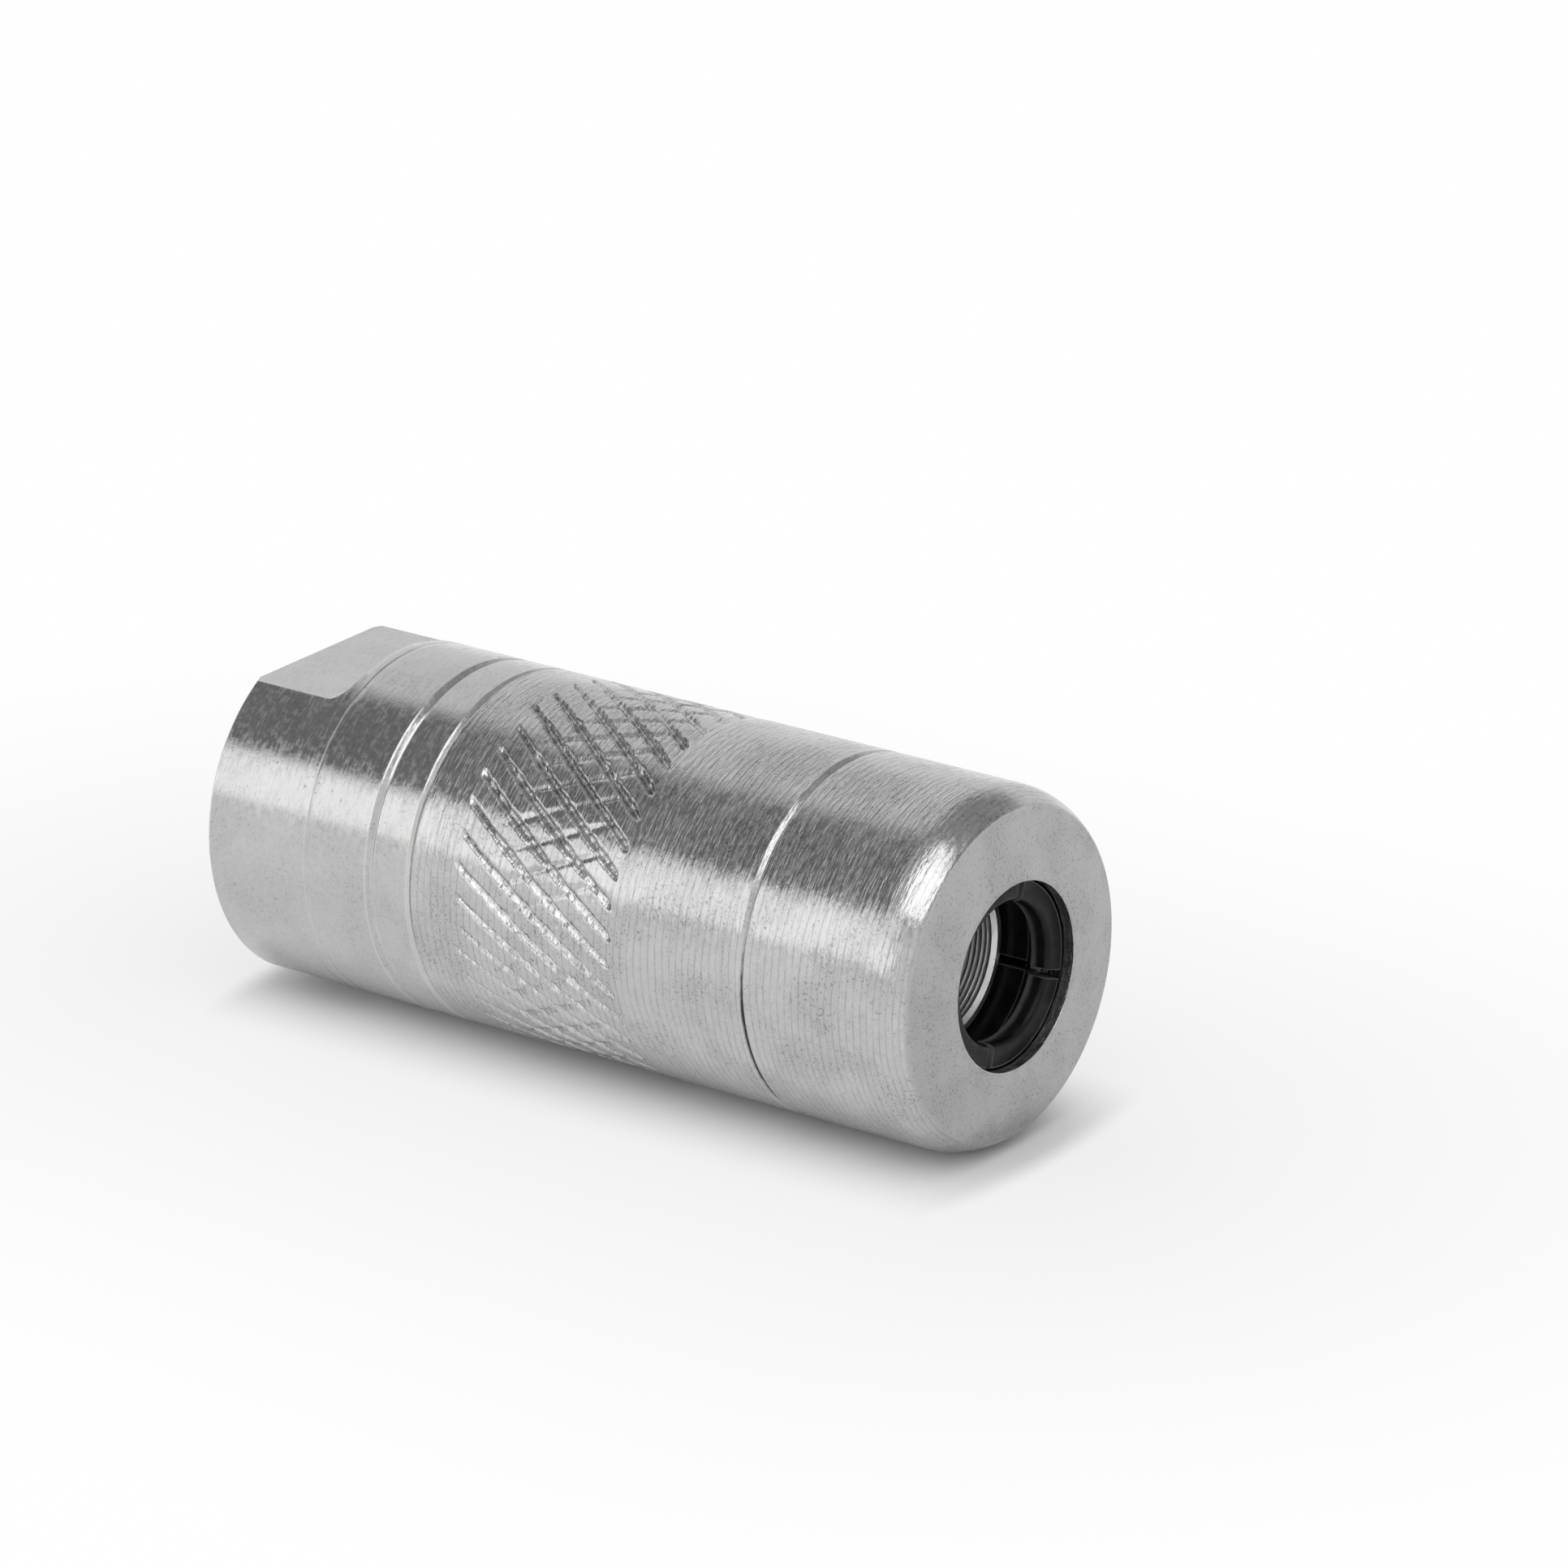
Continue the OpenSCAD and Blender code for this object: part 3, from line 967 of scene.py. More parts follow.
@dataclass
class Sleeve:
    """Knurled front sleeve with a V-groove, a rounded nose and the cone that closes the jaws."""

    span: Span = node_span("sleeve")
    jaws: Span = node_span(*JAWS)
    spring: Span = node_span("main_spring")
    steps: int = 592
    joint_edge: float = JOINT_EDGE
    groove_from_nose: float = 8.06
    groove_w: float = 0.32
    nose_edge_l: float = 1.7
    nose_edge_h: float = 0.6
    nose_crown: float = 0.28
    nose_rings: int = 10
    face_rings: int = 4
    mouth_r: float = MOUTH_R
    wall: float = 1.0
    thread_step: float = 0.35
    thread_runout: float = 0.4
    cone_angle: float = CONE_ANGLE
    edge: float = 0.045
    brace: float = 0.05
    band_start: float = 13.0
    band_end: float = 21.6
    band_fade: float = 0.3
    band_rings: int = 86
    unwind_end: float = 27.3
    unwind_rings: int = 11
    crossing: float = 0.35
    burr: float = 0.03
    burr_mean: float = 0.5
    # Waves per millimetre along the band and per radian round it, a seed and a strength
    burr_waves: tuple[tuple[float, ...], ...] = ((2.1, 15, 4.4, 0.3), (6.1, 45, 9.2, 0.2))
    # Strength of the painted shade along the rims of the knurl's grooves
    knurl_rim_shade: float = 0.5
    joint_grime: float = JOINT_GRIME
    # The V-groove darker towards its bottom, and darker still towards the underside over the angles
    # that follow
    groove_dark: float = 0.5
    groove_dark_from: Point = (70.0, 100.0)
    # The mouth's rim darker
    rim_dark: float = 0.35
    right_hand: KnurlGrooves = KnurlGrooves(
        count=37,
        slope=0.66,
        through=(13.45, 64.0),
        start=13.35,
        full=16.3,
        end=21.3,
        width=0.46,
        depth=0.28,
        ragged=0.35,
        seed=2.3,
        thin=0.6,
        lean=-0.15,
        notch_l=0.72,
    )
    left_hand: KnurlGrooves = KnurlGrooves(
        count=37,
        slope=-0.47,
        through=(15.65, 56.0),
        start=15.1,
        full=16.4,
        end=20.3,
        width=0.28,
        depth=0.11,
        ragged=0.7,
        seed=8.1,
        tip=0.6,
    )

    def profile(self) -> list[Point]:
        """Gives the turned profile, forwards outside and backwards inside.

        Returns:
            Points as (place along the axis, radius).
        """
        radius = self.span.radius
        nose = self.span.front
        groove = nose - self.groove_from_nose
        arc_r = (self.nose_edge_l**2 + self.nose_edge_h**2) / (2 * self.nose_edge_h)
        arc = math.asin(self.nose_edge_l / arc_r)
        arc_x = nose - self.nose_crown - self.nose_edge_l
        thread_r = radius - self.wall
        chamber_r = thread_r - self.thread_step
        thread_end = self.spring.back + self.thread_runout
        cone_l = (chamber_r - self.mouth_r) / math.tan(math.radians(self.cone_angle))
        face_r = radius - self.nose_edge_h
        outside = [
            (self.span.back, radius - self.joint_edge),
            (self.span.back + self.joint_edge, radius),
            *cylinder(self.band_start, self.band_end, self.band_rings, radius),
            *cylinder(self.band_end, self.unwind_end, self.unwind_rings, radius)[1:],
            *v_groove(groove, self.groove_w, self.groove_w / 2, radius),
            *[
                (arc_x + arc_r * math.sin(a), radius - arc_r * (1 - math.cos(a)))
                for a in evenly(0, arc, self.nose_rings)
            ],
            *[
                (nose - self.nose_crown * (r - self.mouth_r) / (face_r - self.mouth_r), r)
                for r in evenly(face_r, self.mouth_r, self.face_rings)[1:]
            ],
            (self.jaws.front, self.mouth_r),
        ]
        return [
            *braced(outside, self.edge + self.brace),
            (self.jaws.front - cone_l, chamber_r),
            (thread_end, chamber_r),
            (thread_end, thread_r),
            (self.span.back, thread_r),
        ]

    def twist(self, along: float) -> float:
        """Turn of the mesh at a place, so that its edges run along the right-hand grooves.

        Args:
            along: Place along the axis.

        Returns:
            Angle in radians.
        """
        wound = min(max(along, self.band_start), self.band_end) - self.band_start
        left = 1 - min(max((along - self.band_end) / (self.unwind_end - self.band_end), 0), 1)
        return self.right_hand.slope * wound / self.span.radius * left

    def roll_knurl(self, bm: BMesh) -> None:
        """Sinks both families of grooves into the knurled band, roughens the land between them and
        paints shade along the grooves' rims.

        Args:
            bm: The spun sleeve.
        """
        grime_and_shade = bm.verts.layers.float.new(Mask.GRIME_AND_SHADE.value)
        radius = self.span.radius
        x, degrees = self.right_hand.through
        first = math.radians(degrees) - self.right_hand.slope * (x - self.band_start) / radius
        first %= FULL_TURN / self.steps
        for vert in bm.verts:
            along = vert.co.x
            if radius_of(vert.co) < radius - MERGE or not self.band_start < along < self.unwind_end:
                continue
            angle = angle_of(vert.co) + first + self.twist(along)
            traces = [g.cut(along, angle, radius) for g in (self.right_hand, self.left_hand)]
            cuts = [cut for cut, _ in traces]
            depth = max(cuts) + self.crossing * min(cuts)
            inside = eased(self.band_start, self.right_hand.full, along)
            inside *= 1 - eased(self.band_end - self.band_fade, self.band_end, along)
            waves = sum(
                strength * noise.noise((along * lengthwise, angle * crosswise, seed))
                for lengthwise, crosswise, seed, strength in self.burr_waves
            )
            lift = self.burr * inside * (self.burr_mean - waves)
            vert.co = placed(along, radius - max(depth, lift), angle)
            # Painted shade: dark lines along the rims of the grooves
            vert[grime_and_shade] = self.knurl_rim_shade * max(patchy_share for _, patchy_share in traces)

    def mark_face_and_darken(self, bm: BMesh) -> None:
        """Marks the plain nose face, grime in the joint, and darkening in the V-groove, towards its
        bottom and on the underside, and at the mouth's rim.

        Args:
            bm: The knurled sleeve.
        """
        grime_and_shade = bm.verts.layers.float[Mask.GRIME_AND_SHADE.value]
        plain = bm.verts.layers.float.new(Mask.PLAIN.value)
        groove = self.span.front - self.groove_from_nose
        face_r = self.span.radius - self.nose_edge_h
        rim_r = self.mouth_r + 2 * self.edge + self.brace
        low_from, low_to = (math.radians(a) for a in self.groove_dark_from)
        for vert in bm.verts:
            along, radius = vert.co.x, radius_of(vert.co)
            # The nose face, which takes a painted shade tone
            vert[plain] = float(along > self.jaws.front and radius < face_r + self.edge)
            # The V-groove darker towards its bottom and towards the underside
            if abs(along - groove) < self.groove_w / 2:
                low = eased(low_from, low_to, abs(angle_of(vert.co)))
                share = self.groove_dark + (1 - self.groove_dark) * low
                vert[grime_and_shade] = share * (self.span.radius - radius) / (self.groove_w / 2)
            elif along < self.span.back + self.joint_edge:
                vert[grime_and_shade] = self.joint_grime
            # The mouth's rim darker
            elif along > self.jaws.front + self.edge and radius < rim_r:
                vert[grime_and_shade] = self.rim_dark

    def build(self) -> None:
        """Builds the sleeve and dresses it."""
        bm = spun(self.profile(), self.steps)
        soften(bm, self.edge)
        self.roll_knurl(bm)
        self.mark_face_and_darken(bm)
        piece = Piece("knurled_sleeve", "sleeve", Body.HOUSING.value, Slot.ZINC)
        piece.finished(bm, ZINC_TURNED, sharp=70)


@dataclass
class RearBody:
    """Rear body with wrench flats, a threaded hose port, the valve's seat and the stem's guide."""

    span: Span = node_span("rear_body")
    sleeve: Span = node_span("sleeve")
    spring: Span = node_span("main_spring")
    retainer: Span = node_span("check_retainer")
    steps: int = 384
    rear_edge: float = 0.2
    joint_edge: float = JOINT_EDGE
    groove_x: float = 8.8
    groove_w: float = 0.44
    flats_half: float = 6.35
    flats_l: float = 4.75
    flats_corner_r: float = 0.8
    flats_rings: int = 10
    corner_rings: int = 12
    relax_l: float = 1.6
    relax_rings: int = 4
    # A vertex this share of a step past the flat's edge still counts as on it
    row_slack: float = 1 / 9
    weld: float = 4 * MERGE
    scribe_x: float = 5.3
    scribe_w: float = 0.08
    scribe_h: float = 0.014
    port_r: float = 4.35
    port_l: float = 8.4
    port_mouth_r: float = 5.1
    port_mouth_l: float = 0.45
    drill_point: float = 118.0
    thread_pitch: float = 25.4 / 27
    thread_depth: float = 0.56
    thread_taper: float = 1 / 32
    thread_rings: int = 12
    thread_flank: Point = (0.08, 0.92)
    thread_runout: float = 2.5
    thread_gap: float = 0.1
    # A vertex this close to the bore's radius lies on its wall
    wall_band: float = 0.02
    seat_hole_r: float = 1.2
    seat_hole_l: float = 0.7
    chamber_r: float = 2.4
    stem_bore_r: float = 2.7
    boss_r: float = 3.7
    spigot_r: float = 6.45
    spigot_lead: float = 0.3
    relief_w: float = 0.8
    relief_h: float = 0.5
    edge: float = 0.04
    brace: float = 0.05
    # The V-groove darker towards its bottom
    groove_dark: float = 0.3
    joint_grime: float = JOINT_GRIME
    # The port darker, more so the deeper in
    port_dark: float = 0.35
    port_dark_rise: float = 0.02

    def profile(self) -> list[Point]:
        """Gives the turned profile, forwards outside and backwards inside.

        Returns:
            Points as (place along the axis, radius).
        """
        radius = self.sleeve.radius
        joint = self.sleeve.back
        milled = self.flats_l - self.flats_corner_r
        drill_l = (self.port_r - self.seat_hole_r) / math.tan(math.radians(self.drill_point / 2))
        seat = self.port_l + drill_l + self.seat_hole_l
        thread_turns = (self.port_l - self.port_mouth_l) / self.thread_pitch
        thread_rows = round(thread_turns * self.thread_rings)
        outside = [
            (0.0, radius - self.rear_edge),
            *cylinder(self.rear_edge, milled, self.flats_rings, radius),
            *cylinder(milled, self.flats_l, self.corner_rings, radius)[1:],
            (self.flats_l + 2 * MERGE, radius),
            *v_groove(self.scribe_x, self.scribe_w, self.scribe_h, radius),
            *cylinder(self.scribe_x, self.flats_l + self.relax_l, self.relax_rings, radius)[1:],
            *v_groove(self.groove_x, self.groove_w, self.groove_w / 2, radius),
            (joint - self.joint_edge, radius),
            (joint, radius - self.joint_edge),
        ]
        return [
            *braced(outside, self.edge + self.brace),
            (joint, self.spigot_r - self.relief_h),
            (joint + self.relief_w, self.spigot_r - self.relief_h),
            (joint + self.relief_w + self.relief_h, self.spigot_r),
            (self.spring.back - self.spigot_lead, self.spigot_r),
            (self.spring.back, self.spigot_r - self.spigot_lead),
            (self.spring.back, self.boss_r),
            (self.span.front, self.boss_r),
            (self.span.front, self.stem_bore_r),
            (self.retainer.back, self.stem_bore_r),
            (self.retainer.back, self.chamber_r),
            (seat + self.chamber_r - self.seat_hole_r, self.chamber_r),
            (seat, self.seat_hole_r),
            (self.port_l + drill_l, self.seat_hole_r),
            *cylinder(self.port_l, self.port_mouth_l, thread_rows, self.port_r),
            (0.0, self.port_mouth_r),
            (0.0, self.flats_half - self.edge - 2 * self.brace),
        ]

    def flat_height(self, along: float) -> float:
        """Height of the milled flats over the axis, with the cutter's corner at their end.

        Args:
            along: Place along the axis.

        Returns:
            Height, or the full radius in front of the flats.
        """
        if along > self.flats_l + MERGE:
            return self.sleeve.radius
        into = max(0.0, along - (self.flats_l - self.flats_corner_r))
        drop = math.sqrt(max(0.0, self.flats_corner_r**2 - into**2))
        return self.flats_half + self.flats_corner_r - drop

    def mill_flats(self, bm: BMesh) -> None:
        """Moves the outside onto the two flats, with a row of vertices kept on their edges.

        Args:
            bm: The spun body.
        """
        radius = self.sleeve.radius
        step = FULL_TURN / self.steps
        edge = step * round(math.acos(self.flats_half / radius) / step)
        quarter = FULL_TURN / 4
        reach = self.flats_l + self.relax_l
        for vert in bm.verts:
            along, r = vert.co.x, radius_of(vert.co)
            if along > reach or r < self.flats_half:
                continue
            angle = angle_of(vert.co)
            turn = round(angle / (2 * quarter)) * 2 * quarter
            side = math.copysign(1.0, angle - turn)
            aside = abs(angle - turn)
            height = self.flat_height(min(along, self.flats_l))
            border = math.acos(min(1.0, height / r))
            border += (edge - border) * eased(self.flats_l, reach, along)
            if aside <= edge + step * self.row_slack:
                moved = aside * border / edge
            else:
                moved = border + (aside - edge) * (quarter - border) / (quarter - edge)
            vert.co = placed(along, r, turn + side * moved)
            top = self.flat_height(along)
            if abs(vert.co.z) > top:
                vert.co.z = math.copysign(top, vert.co.z)
        bmesh.ops.remove_doubles(bm, verts=bm.verts, dist=self.weld)

    def tap_port(self, bm: BMesh) -> None:
        """Cuts the tapered pipe thread outwards into the wall of the port.

        Args:
            bm: The spun body.
        """
        fade_from = self.port_l - self.thread_runout * self.thread_pitch
        fade_to = self.port_l - self.thread_gap
        lead_to = self.port_mouth_l + self.thread_pitch / 2
        for vert in bm.verts:
            along, r = vert.co.x, radius_of(vert.co)
            if abs(r - self.port_r) >= self.wall_band or along >= self.port_l:
                continue
            angle = angle_of(vert.co)
            turns = along / self.thread_pitch + angle / FULL_TURN
            wave = 1 - abs(2 * (turns - math.floor(turns)) - 1)
            depth = self.thread_depth - self.thread_taper * along
            depth *= 1 - eased(fade_from, fade_to, along)
            depth *= eased(self.port_mouth_l, lead_to, along)
            vert.co = placed(along, r + depth * eased(*self.thread_flank, wave), angle)

    def grime_and_dark_at(self, along: float, radius: float) -> float:
        """Darkening in the V-groove, towards its bottom, grime in the joint, and darkening down in
        the port, more the deeper in.

        Args:
            along: Place along the axis.
            radius: Distance from the axis.

        Returns:
            Grime from 0 to 1.
        """
        depth = self.sleeve.radius - radius
        # The V-groove darker towards its bottom
        if abs(along - self.groove_x) < self.groove_w and radius > self.spigot_r:
            return self.groove_dark * min(1.0, depth / (self.groove_w / 2))
        if along > self.sleeve.back - self.joint_edge:
            return self.joint_grime
        # The port darker, more so the deeper in
        if radius < self.port_mouth_r and along > self.port_mouth_l:
            return self.port_dark + self.port_dark_rise * along
        return 0.0

    def build(self) -> None:
        """Builds the rear body and dresses it."""
        bm = spun(self.profile(), self.steps)
        self.mill_flats(bm)
        soften(bm, self.edge)
        self.tap_port(bm)
        grime_and_shade = bm.verts.layers.float.new(Mask.GRIME_AND_SHADE.value)
        for vert in bm.verts:
            vert[grime_and_shade] = self.grime_and_dark_at(vert.co.x, radius_of(vert.co))
        piece = Piece("rear_body_turned", "rear_body", Body.HOUSING.value, Slot.ZINC)
        piece.finished(bm, ZINC_SMOOTH, sharp=28)


@dataclass
class Jaws:
    """Four black jaws: one turned blank with gripping lips, parted by two crossing slits."""

    span: Span = node_span(*JAWS)
    ring: Span = node_span("jaw_ring")
    steps: int = 72
    spare: float = 6.0
    mouth_r: float = MOUTH_R
    cone_angle: float = CONE_ANGLE
    cone_gap: float = 0.06
    lip_r: float = 2.9
    lip_land_l: float = 0.5
    lead_in_l: float = 0.34
    lead_in_h: float = 0.26
    lead_in_rings: int = 6
    grip_angle: float = 50.0
    cavity_r: float = 3.85
    ring_gap: float = 0.1
    slit: float = 0.36
    turn: float = JAW_TURN
    edge: float = 0.06
    brace: float = 0.06

    def profile(self) -> list[Point]:
        """Gives the blank's profile: rounded lead-in, cone outside, cavity and lips inside.

        Returns:
            Points as (place along the axis, radius).
        """
        front, back = self.span.front, self.span.back
        slope = math.radians(self.cone_angle)
        front_r = self.mouth_r - self.cone_gap / math.cos(slope)
        outer_r = self.span.radius
        cone_l = (outer_r - front_r) / math.tan(slope)
        grip_x = front - self.lead_in_l - self.lip_land_l
        grip_l = (self.cavity_r - self.lip_r) / math.tan(math.radians(self.grip_angle))
        groove = (self.ring.back - self.ring_gap, self.ring.front + self.ring_gap)
        groove_r = self.ring.radius + self.ring_gap
        chain = [
            *[
                (
                    front - self.lead_in_l * (1 - math.sin(a)),
                    self.lip_r + self.lead_in_h * (1 - math.cos(a)),
                )
                for a in evenly(0, FULL_TURN / 4, self.lead_in_rings)
            ],
            (front, front_r),
            (front - cone_l, outer_r),
            (back, outer_r),
            (back, self.cavity_r),
            (groove[0], self.cavity_r),
            (groove[0], groove_r),
            (groove[1], groove_r),
            (groove[1], self.cavity_r),
            (grip_x - grip_l, self.cavity_r),
            (grip_x, self.lip_r),
        ]
        return braced(chain, self.edge + self.brace)

    def part_off(self, bm: BMesh, side: Vector) -> None:
        """Saws the blank along one side of a slit, and drops what lies beyond it.

        Args:
            bm: The blank.
            side: Direction across the slit, into the jaw.
        """
        bmesh.ops.bisect_plane(
            bm,
            geom=bm.verts[:] + bm.edges[:] + bm.faces[:],
            dist=MERGE,
            plane_co=side * self.slit / 2,
            plane_no=side,
            clear_inner=True,
        )

    def build(self) -> None:
        """Builds the four jaws and dresses them."""
        sector = FULL_TURN / len(JAWS)
        spare = math.radians(self.spare)
        for index, name in enumerate(JAWS):
            turn = Matrix.Rotation(math.radians(self.turn) + index * sector, 3, AXIS)
            bm = spun(self.profile(), self.steps, -sector - spare, sector + 2 * spare)
            bmesh.ops.rotate(bm, cent=CENTRE, matrix=turn, verts=bm.verts)
            for side in (Vector((0, 1, 0)), Vector((0, 0, 1))):
                self.part_off(bm, turn @ side)
            close_ends(bm)
            soften(bm, self.edge)
            Piece(f"{name}_black", name, name, Slot.BLACK).finished(bm, BLACK_OXIDE, sharp=35)


@dataclass
class Plunger:
    """What slides with the jaws: seal holder, face seal, O-ring, jaw washer and spreading ring."""

    holder: Span = node_span("seal_holder")
    seal: Span = node_span("face_seal")
    o_ring: Span = node_span("stem_o_ring")
    washer: Span = node_span("jaw_washer")
    ring: Span = node_span("jaw_ring")
    spring: Span = node_span("main_spring")
    steps: int = 160
    cup_r: float = 3.75
    cup_bore_r: float = 3.17
    cup_edge: float = 0.17
    bore_lines: int = 9
    bore_line_depth: float = 0.055
    bore_line_rings: int = 4
    grease_r: float = 0.9
    stem_r: float = 2.65
    o_groove_w: float = 1.2
    o_groove_r: float = 1.64
    seal_rim_r: float = 2.536
    seal_dish: float = 0.5
    washer_bore_r: float = 3.85
    ring_open: float = 40.0
    jaw_turn: float = JAW_TURN
    wire_sides: int = 20
    edge: float = 0.05
    brace: float = 0.05

    def holder_profile(self) -> list[Point]:
        """Gives the seal holder's profile, with turned lines in the bore of its cup.

        Returns:
            Points as (place along the axis, radius).
        """
        rim, back = self.holder.front, self.holder.back
        groove = (self.o_ring.back + self.o_ring.front) / 2
        line = (rim - self.cup_edge - self.seal.front) / self.bore_lines
        chain = [
            (rim, self.cup_bore_r + self.cup_edge),
            (rim, self.cup_r - self.cup_edge),
            (rim - self.cup_edge, self.cup_r),
            (self.washer.back, self.cup_r),
            (self.washer.back, self.holder.radius),
            (self.spring.front, self.holder.radius),
            (self.spring.front, self.stem_r),
            (groove + self.o_groove_w / 2, self.stem_r),
            (groove + self.o_groove_w / 2, self.o_groove_r),
            (groove - self.o_groove_w / 2, self.o_groove_r),
            (groove - self.o_groove_w / 2, self.stem_r),
            (back, self.stem_r),
            (back, self.grease_r),
            (self.seal.back, self.grease_r),
            (self.seal.back, self.cup_bore_r),
            *[
                (
                    self.seal.front + line * (index + share),
                    self.cup_bore_r + self.bore_line_depth * math.sin(math.pi * share),
                )
                for index in range(self.bore_lines)
                for share in evenly(0, 1, self.bore_line_rings)[:-1]
            ],
            (rim - self.cup_edge, self.cup_bore_r),
        ]
        return braced(chain, self.edge + self.brace)

    def hoop(self, span: Span, start: float, sweep: float) -> BMesh:
        """Bends round wire into a hoop about the axis.

        Args:
            span: Where the hoop lies. Its length is the wire's diameter.
            start: Angle of the wire's first end.
            sweep: Angle that the wire covers.

        Returns:
            The mesh, with its ends closed.
        """
        wire_r = (span.front - span.back) / 2
        bm = bmesh.new()
        verts = bmesh.ops.create_circle(bm, segments=self.wire_sides, radius=wire_r)["verts"]
        upright = Matrix.Rotation(FULL_TURN / 4, 3, AXIS)
        bmesh.ops.rotate(bm, cent=CENTRE, matrix=upright, verts=verts)
        middle = ((span.back + span.front) / 2, 0, span.radius - wire_r)
        bmesh.ops.translate(bm, vec=middle, verts=verts)
        turn = Matrix.Rotation(start, 3, AXIS)
        bmesh.ops.rotate(bm, cent=CENTRE, matrix=turn, verts=verts)
        swept(bm, bm.verts[:] + bm.edges[:], sweep, self.steps, merge=sweep >= FULL_TURN)
        bmesh.ops.remove_doubles(bm, verts=bm.verts, dist=MERGE)
        close_ends(bm)
        return bm

    def build(self) -> None:
        """Builds the pieces of the plunger and dresses them."""
        body = Body.PLUNGER.value
        bm = spun(self.holder_profile(), self.steps)
        soften(bm, self.edge, sharper_than=80)
        Piece("seal_holder_turned", "seal_holder", body, Slot.BRIGHT).finished(bm, BRIGHT_TURNED)
        seal_r = self.seal.radius
        bm = spun(
            [
                (self.seal.back, self.grease_r),
                (self.seal.back, seal_r),
                (self.seal.front, seal_r),
                (self.seal.front, self.seal_rim_r),
                (self.seal.front - self.seal_dish, self.grease_r),
            ],
            self.steps,
        )
        soften(bm, 2 * self.edge)
        Piece("face_seal_rubber", "face_seal", body, Slot.NITRILE).finished(bm, NITRILE_RUBBER)
        bm = spun(
            [
                (self.washer.back, self.washer_bore_r),
                (self.washer.back, self.washer.radius),
                (self.washer.front, self.washer.radius),
                (self.washer.front, self.washer_bore_r),
            ],
            self.steps,
        )
        soften(bm, self.edge)
        Piece("jaw_washer_plated", "jaw_washer", body, Slot.ZINC).finished(bm, ZINC_SMOOTH)
        bm = self.hoop(self.o_ring, 0.0, FULL_TURN)
        Piece("stem_o_ring_rubber", "stem_o_ring", body, Slot.NITRILE).finished(bm, NITRILE_RUBBER)
        opening = math.radians(self.ring_open)
        start = math.radians(self.jaw_turn) + opening / 2 - FULL_TURN / 4
        bm = self.hoop(self.ring, start, FULL_TURN - opening)
        soften(bm, self.edge, sharper_than=60)
        Piece("jaw_ring_wire", "jaw_ring", body, Slot.SPRING).finished(bm, SPRING_WIRE)


@dataclass(frozen=True)
class CoilSpring:
    """Compression spring with closed ends."""

    node: str
    turns: int
    wire_d: float
    travel: float
    joint: Joint
    held_at_front: bool
    steps: int = 40
    sides: int = 14
    end_pitch: float = 1.08

    def build(self) -> None:
        """Winds the wire in three stretches, closes its ends and dresses it."""
        span = Span.of(self.node)
        length = span.front - span.back
        wire_r = self.wire_d / 2
        end_rise = self.end_pitch * self.wire_d
        rise = (length - self.wire_d - 2 * end_rise) / (self.turns - 2)
        bm = bmesh.new()
        verts = bmesh.ops.create_circle(bm, segments=self.sides, radius=wire_r)["verts"]
        first = (span.back + wire_r, span.radius - wire_r, 0)
        bmesh.ops.translate(bm, vec=first, verts=verts)
        section = bm.verts[:] + bm.edges[:]
        for count, pitch in ((1, end_rise), (self.turns - 2, rise), (1, end_rise)):
            steps = count * self.steps
            section = swept(bm, section, count * FULL_TURN, steps, rise=pitch / self.steps)
        close_ends(bm)
        piece = Piece(f"{self.node}_wire", self.node, Body.HOUSING.value, Slot.SPRING)
        wire = piece.finished(bm, SPRING_WIRE)
        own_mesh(wire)


@dataclass
class CheckValve:
    """Ball, its spring and the disc that holds the spring."""

    ball: Span = node_span("check_ball")
    spring: CoilSpring = CoilSpring(
        "check_spring",
        turns=4,
        wire_d=0.3,
        travel=1.0,
        joint=Joint.BALL_LIFT,
        held_at_front=True,
    )
    ball_detail: int = 5

    def build(self) -> None:
        """Builds the ball and its spring, and dresses them and the CAD disc."""
        bm = bmesh.new()
        bmesh.ops.create_icosphere(bm, subdivisions=self.ball_detail, radius=self.ball.radius)
        middle = (self.ball.back + self.ball.front) / 2
        bmesh.ops.translate(bm, vec=(middle, 0, 0), verts=bm.verts)
        piece = Piece("check_ball_steel", "check_ball", Body.BALL.value, Slot.BEARING)
        piece.finished(bm, BALL_STEEL)
        self.spring.build()
        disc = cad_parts["check_retainer"]
        disc.data.materials.clear()
        disc.data.materials.append(RETAINER_BRASS.material())
        log.info("check_retainer: CAD disc dressed in brass")


@dataclass(frozen=True)
class SoftBox:
    """Rectangular lamp whose long side lies along the coupler's axis."""

    name: str
    lean: float
    distance: float
    along: Point
    across: float
    level: float

    def build(self, target: Vector) -> None:
        """Hangs the lamp so that it faces the coupler's axis.

        Args:
            target: Middle of the coupler, in metres.
        """
        lean = math.radians(self.lean)
        away = Vector((0, -math.sin(lean), math.cos(lean)))
        data = bpy.data.lights.new(self.name, "AREA")
        data.shape = "RECTANGLE"
        data.size = (self.along[1] - self.along[0]) * MM
        data.size_y = self.across * MM
        data.energy = self.level * math.pi * data.size * data.size_y
        lamp = linked(self.name, data)
        lamp.location = target + away * self.distance * MM + AXIS * sum(self.along) / 2 * MM
        lamp.rotation_euler = (lean, 0, 0)
        lamp.visible_camera = False
        log.info("lamp %s at level %.2f", self.name, self.level)


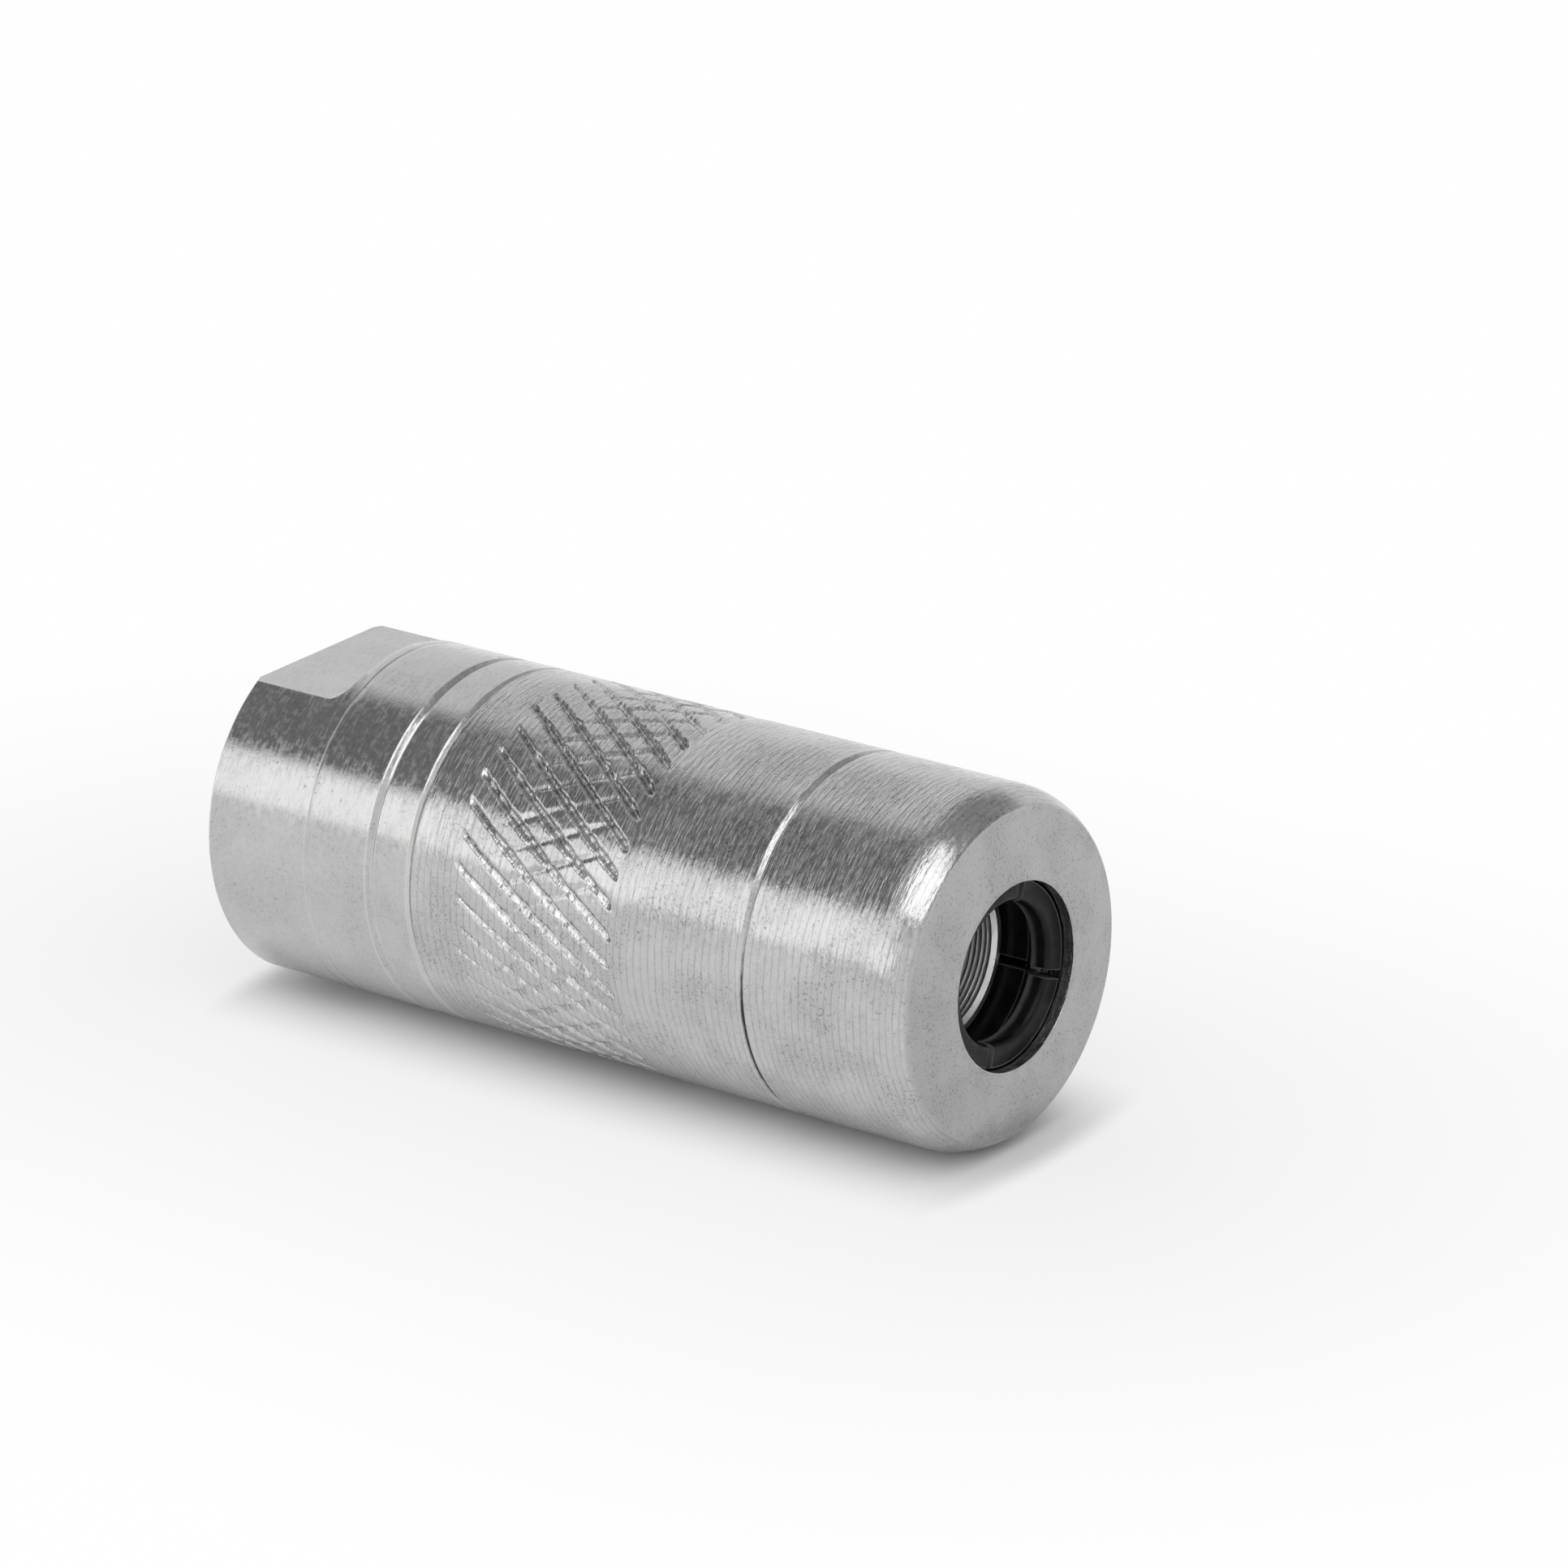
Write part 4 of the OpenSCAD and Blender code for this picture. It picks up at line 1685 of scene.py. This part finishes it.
@dataclass
class Studio:
    """Pale floor with a painted shadow round the coupler, soft boxes, a light room with a dark
    ceiling and a dark flag, and the camera.
    """

    boxes: tuple[SoftBox, ...] = (
        SoftBox("front_box", lean=62.6, distance=350, along=(-480, 60), across=207, level=0.6),
        SoftBox("top_box", lean=22.0, distance=350, along=(-20, 340), across=297, level=1.35),
    )
    floor_size: float = 3000.0
    floor_tone: float = 0.8
    # Painted shadow: the glow fades close to the coupler, and less far past its ends
    painted_shadow_reach: Point = (2.3, 8.5)
    painted_shadow_glow: Point = (0.0, 0.66)
    wide_shadow_reach: Point = (-10.0, 45.0)
    wide_shadow_glow: Point = (-0.03, 0.33)
    shadow_end_squeeze: float = 4.0
    room_level: float = 0.9
    horizon: Point = (0.02, 0.1)
    dark_level: float = 0.23
    ceiling_from: Point = (0.35, 0.62)
    ceiling_along: Point = (-0.55, -0.47)
    ceiling_side: Point = (-0.2, 0.2)
    ceiling_share: Point = (0.45, 0.76)
    flag_top: Point = (-20.0, -2.0)
    flag_foot: Point = (46.0, 54.0)
    flag_end: Point = (-0.52, -0.4)
    camera_place: Vector = field(default_factory=lambda: Vector((212.0638, -240.3637, 123.1182)))
    azimuth: float = 37.9554
    elevation: float = 21.0622
    roll: float = -1.4499
    lens: float = 187.1
    sensor: float = 36.0
    clip_start: float = 10.0

    def build_floor(self) -> None:
        """Lays a pale floor that shows white, keeps the coupler's shadow and has a painted shadow
        round it.
        """
        bm = bmesh.new()
        bmesh.ops.create_grid(bm, x_segments=1, y_segments=1, size=self.floor_size * MM / 2)
        bmesh.ops.translate(bm, vec=(0, 0, CAD_BOX[0].z), verts=bm.verts)
        mesh = bpy.data.meshes.new("floor")
        bm.to_mesh(mesh)
        bm.free()
        floor = linked("floor", mesh)
        mesh.materials.append(self.floor_paper_painted_shadow())

    def floor_paper_painted_shadow(self) -> bpy.types.Material:
        """Makes paper that glows to the camera and in reflections, less so close to the coupler,
        which paints a shadow round it over the shadow that the paper keeps.

        Returns:
            The material.
        """
        made = bpy.data.materials.new("floor_paper_painted_shadow")
        made.use_nodes = True
        tree = made.node_tree
        tree.nodes.remove(tree.nodes["Principled BSDF"])
        wires = Wiring(tree)
        paper = wires.node("ShaderNodeBsdfDiffuse", (*(self.floor_tone,) * 3, 1.0))
        glow = wires.node("ShaderNodeEmission")
        rays = wires.node("ShaderNodeLightPath").outputs
        seen = wires.math("ADD", rays["Is Camera Ray"], rays["Is Glossy Ray"], clamp=True)
        seen = wires.math("ADD", seen, rays["Is Transmission Ray"], clamp=True)
        along, across, _ = wires.split(wires.node("ShaderNodeTexCoord").outputs["Object"])
        half = CAD_BOX[1].x / 2
        past = wires.math("ABSOLUTE", wires.math("SUBTRACT", along, half))
        past = wires.math("MAXIMUM", wires.math("SUBTRACT", past, half), 0.0)
        away = wires.node("ShaderNodeCombineXYZ", past, across).outputs[0]
        # Painted shadow: the glow's share falls close to the coupler
        near = wires.length(wires.stretch(away, (self.shadow_end_squeeze / MM, 1 / MM, 0.0)))
        near = wires.ease(near, *self.painted_shadow_reach, self.painted_shadow_glow)
        far = wires.length(wires.stretch(away, (1 / MM, 1 / MM, 0.0)))
        far = wires.ease(far, *self.wide_shadow_reach, self.wide_shadow_glow)
        share = wires.times(seen, wires.math("ADD", near, far, clamp=True))
        mix = wires.node("ShaderNodeMixShader", share, paper.outputs[0], glow.outputs[0])
        wires.feed(tree.nodes["Material Output"].inputs["Surface"], mix.outputs[0])
        return made

    def build_room(self) -> None:
        """Makes the world a pale room with a dark ceiling, and a dark flag where it ends."""
        world = bpy.data.worlds.new("studio_room")
        world.use_nodes = True
        bpy.context.scene.world = world
        wires = Wiring(world.node_tree)
        outward = wires.node("ShaderNodeTexCoord").outputs["Generated"]
        along, aside, upward = wires.split(outward)
        forward = wires.ease(along, *self.ceiling_along)
        ceiling = wires.times(forward, wires.ease(upward, *self.ceiling_from))
        share = wires.ease(aside, *self.ceiling_side, self.ceiling_share)
        lean = wires.math("ARCTAN2", wires.times(aside, -1.0), upward)
        top = wires.ease(lean, *(math.radians(a) for a in self.flag_top))
        foot = wires.ease(lean, *(math.radians(a) for a in self.flag_foot), (1.0, 0.0))
        end = wires.ease(along, *self.flag_end, (1.0, 0.0))
        flag = wires.times(wires.times(top, foot), end)
        dark = wires.math("MAXIMUM", wires.times(ceiling, share), flag)
        drop = self.dark_level - self.room_level
        room = wires.ease(upward, *self.horizon, (1.0, self.room_level))
        level = wires.math("MULTIPLY_ADD", dark, drop, room)
        wires.feed(world.node_tree.nodes["Background"].inputs["Color"], level)

    def build_camera(self) -> None:
        """Places the camera at the photograph's viewing angle."""
        azimuth, elevation, roll = (
            math.radians(a) for a in (self.azimuth, self.elevation, self.roll)
        )
        back = Vector(
            (
                math.sin(azimuth) * math.cos(elevation),
                -math.cos(azimuth) * math.cos(elevation),
                math.sin(elevation),
            )
        )
        level = Vector((math.cos(azimuth), math.sin(azimuth), 0))
        upward = back.cross(level)
        right = level * math.cos(roll) + upward * math.sin(roll)
        data = bpy.data.cameras.new("photo_camera")
        data.lens = self.lens
        data.sensor_width = self.sensor
        data.clip_start = self.clip_start * MM
        camera = linked("photo_camera", data)
        turn = Matrix((right, back.cross(right), back)).transposed()
        camera.matrix_world = Matrix.Translation(self.camera_place * MM) @ turn.to_4x4()
        bpy.context.scene.camera = camera

    def build(self) -> None:
        """Builds the floor, the room, the lamps and the camera."""
        bpy.context.scene.view_settings.view_transform = "Standard"
        self.build_camera()
        self.build_floor()
        self.build_room()
        for box in self.boxes:
            box.build((CAD_BOX[0] + CAD_BOX[1]) / 2)


def main() -> None:
    """Builds the studio, then each assembly of the coupler."""
    logging.basicConfig(level=logging.INFO, format="%(name)s: %(message)s")
    Studio().build()
    RearBody().build()
    Sleeve().build()
    Jaws().build()
    Plunger().build()
    CoilSpring(
        "main_spring",
        turns=5,
        wire_d=0.9,
        travel=1.8,
        joint=Joint.PLUNGER_SLIDE,
        held_at_front=False,
    ).build()
    CheckValve().build()


if __name__ == "__main__":
    main()
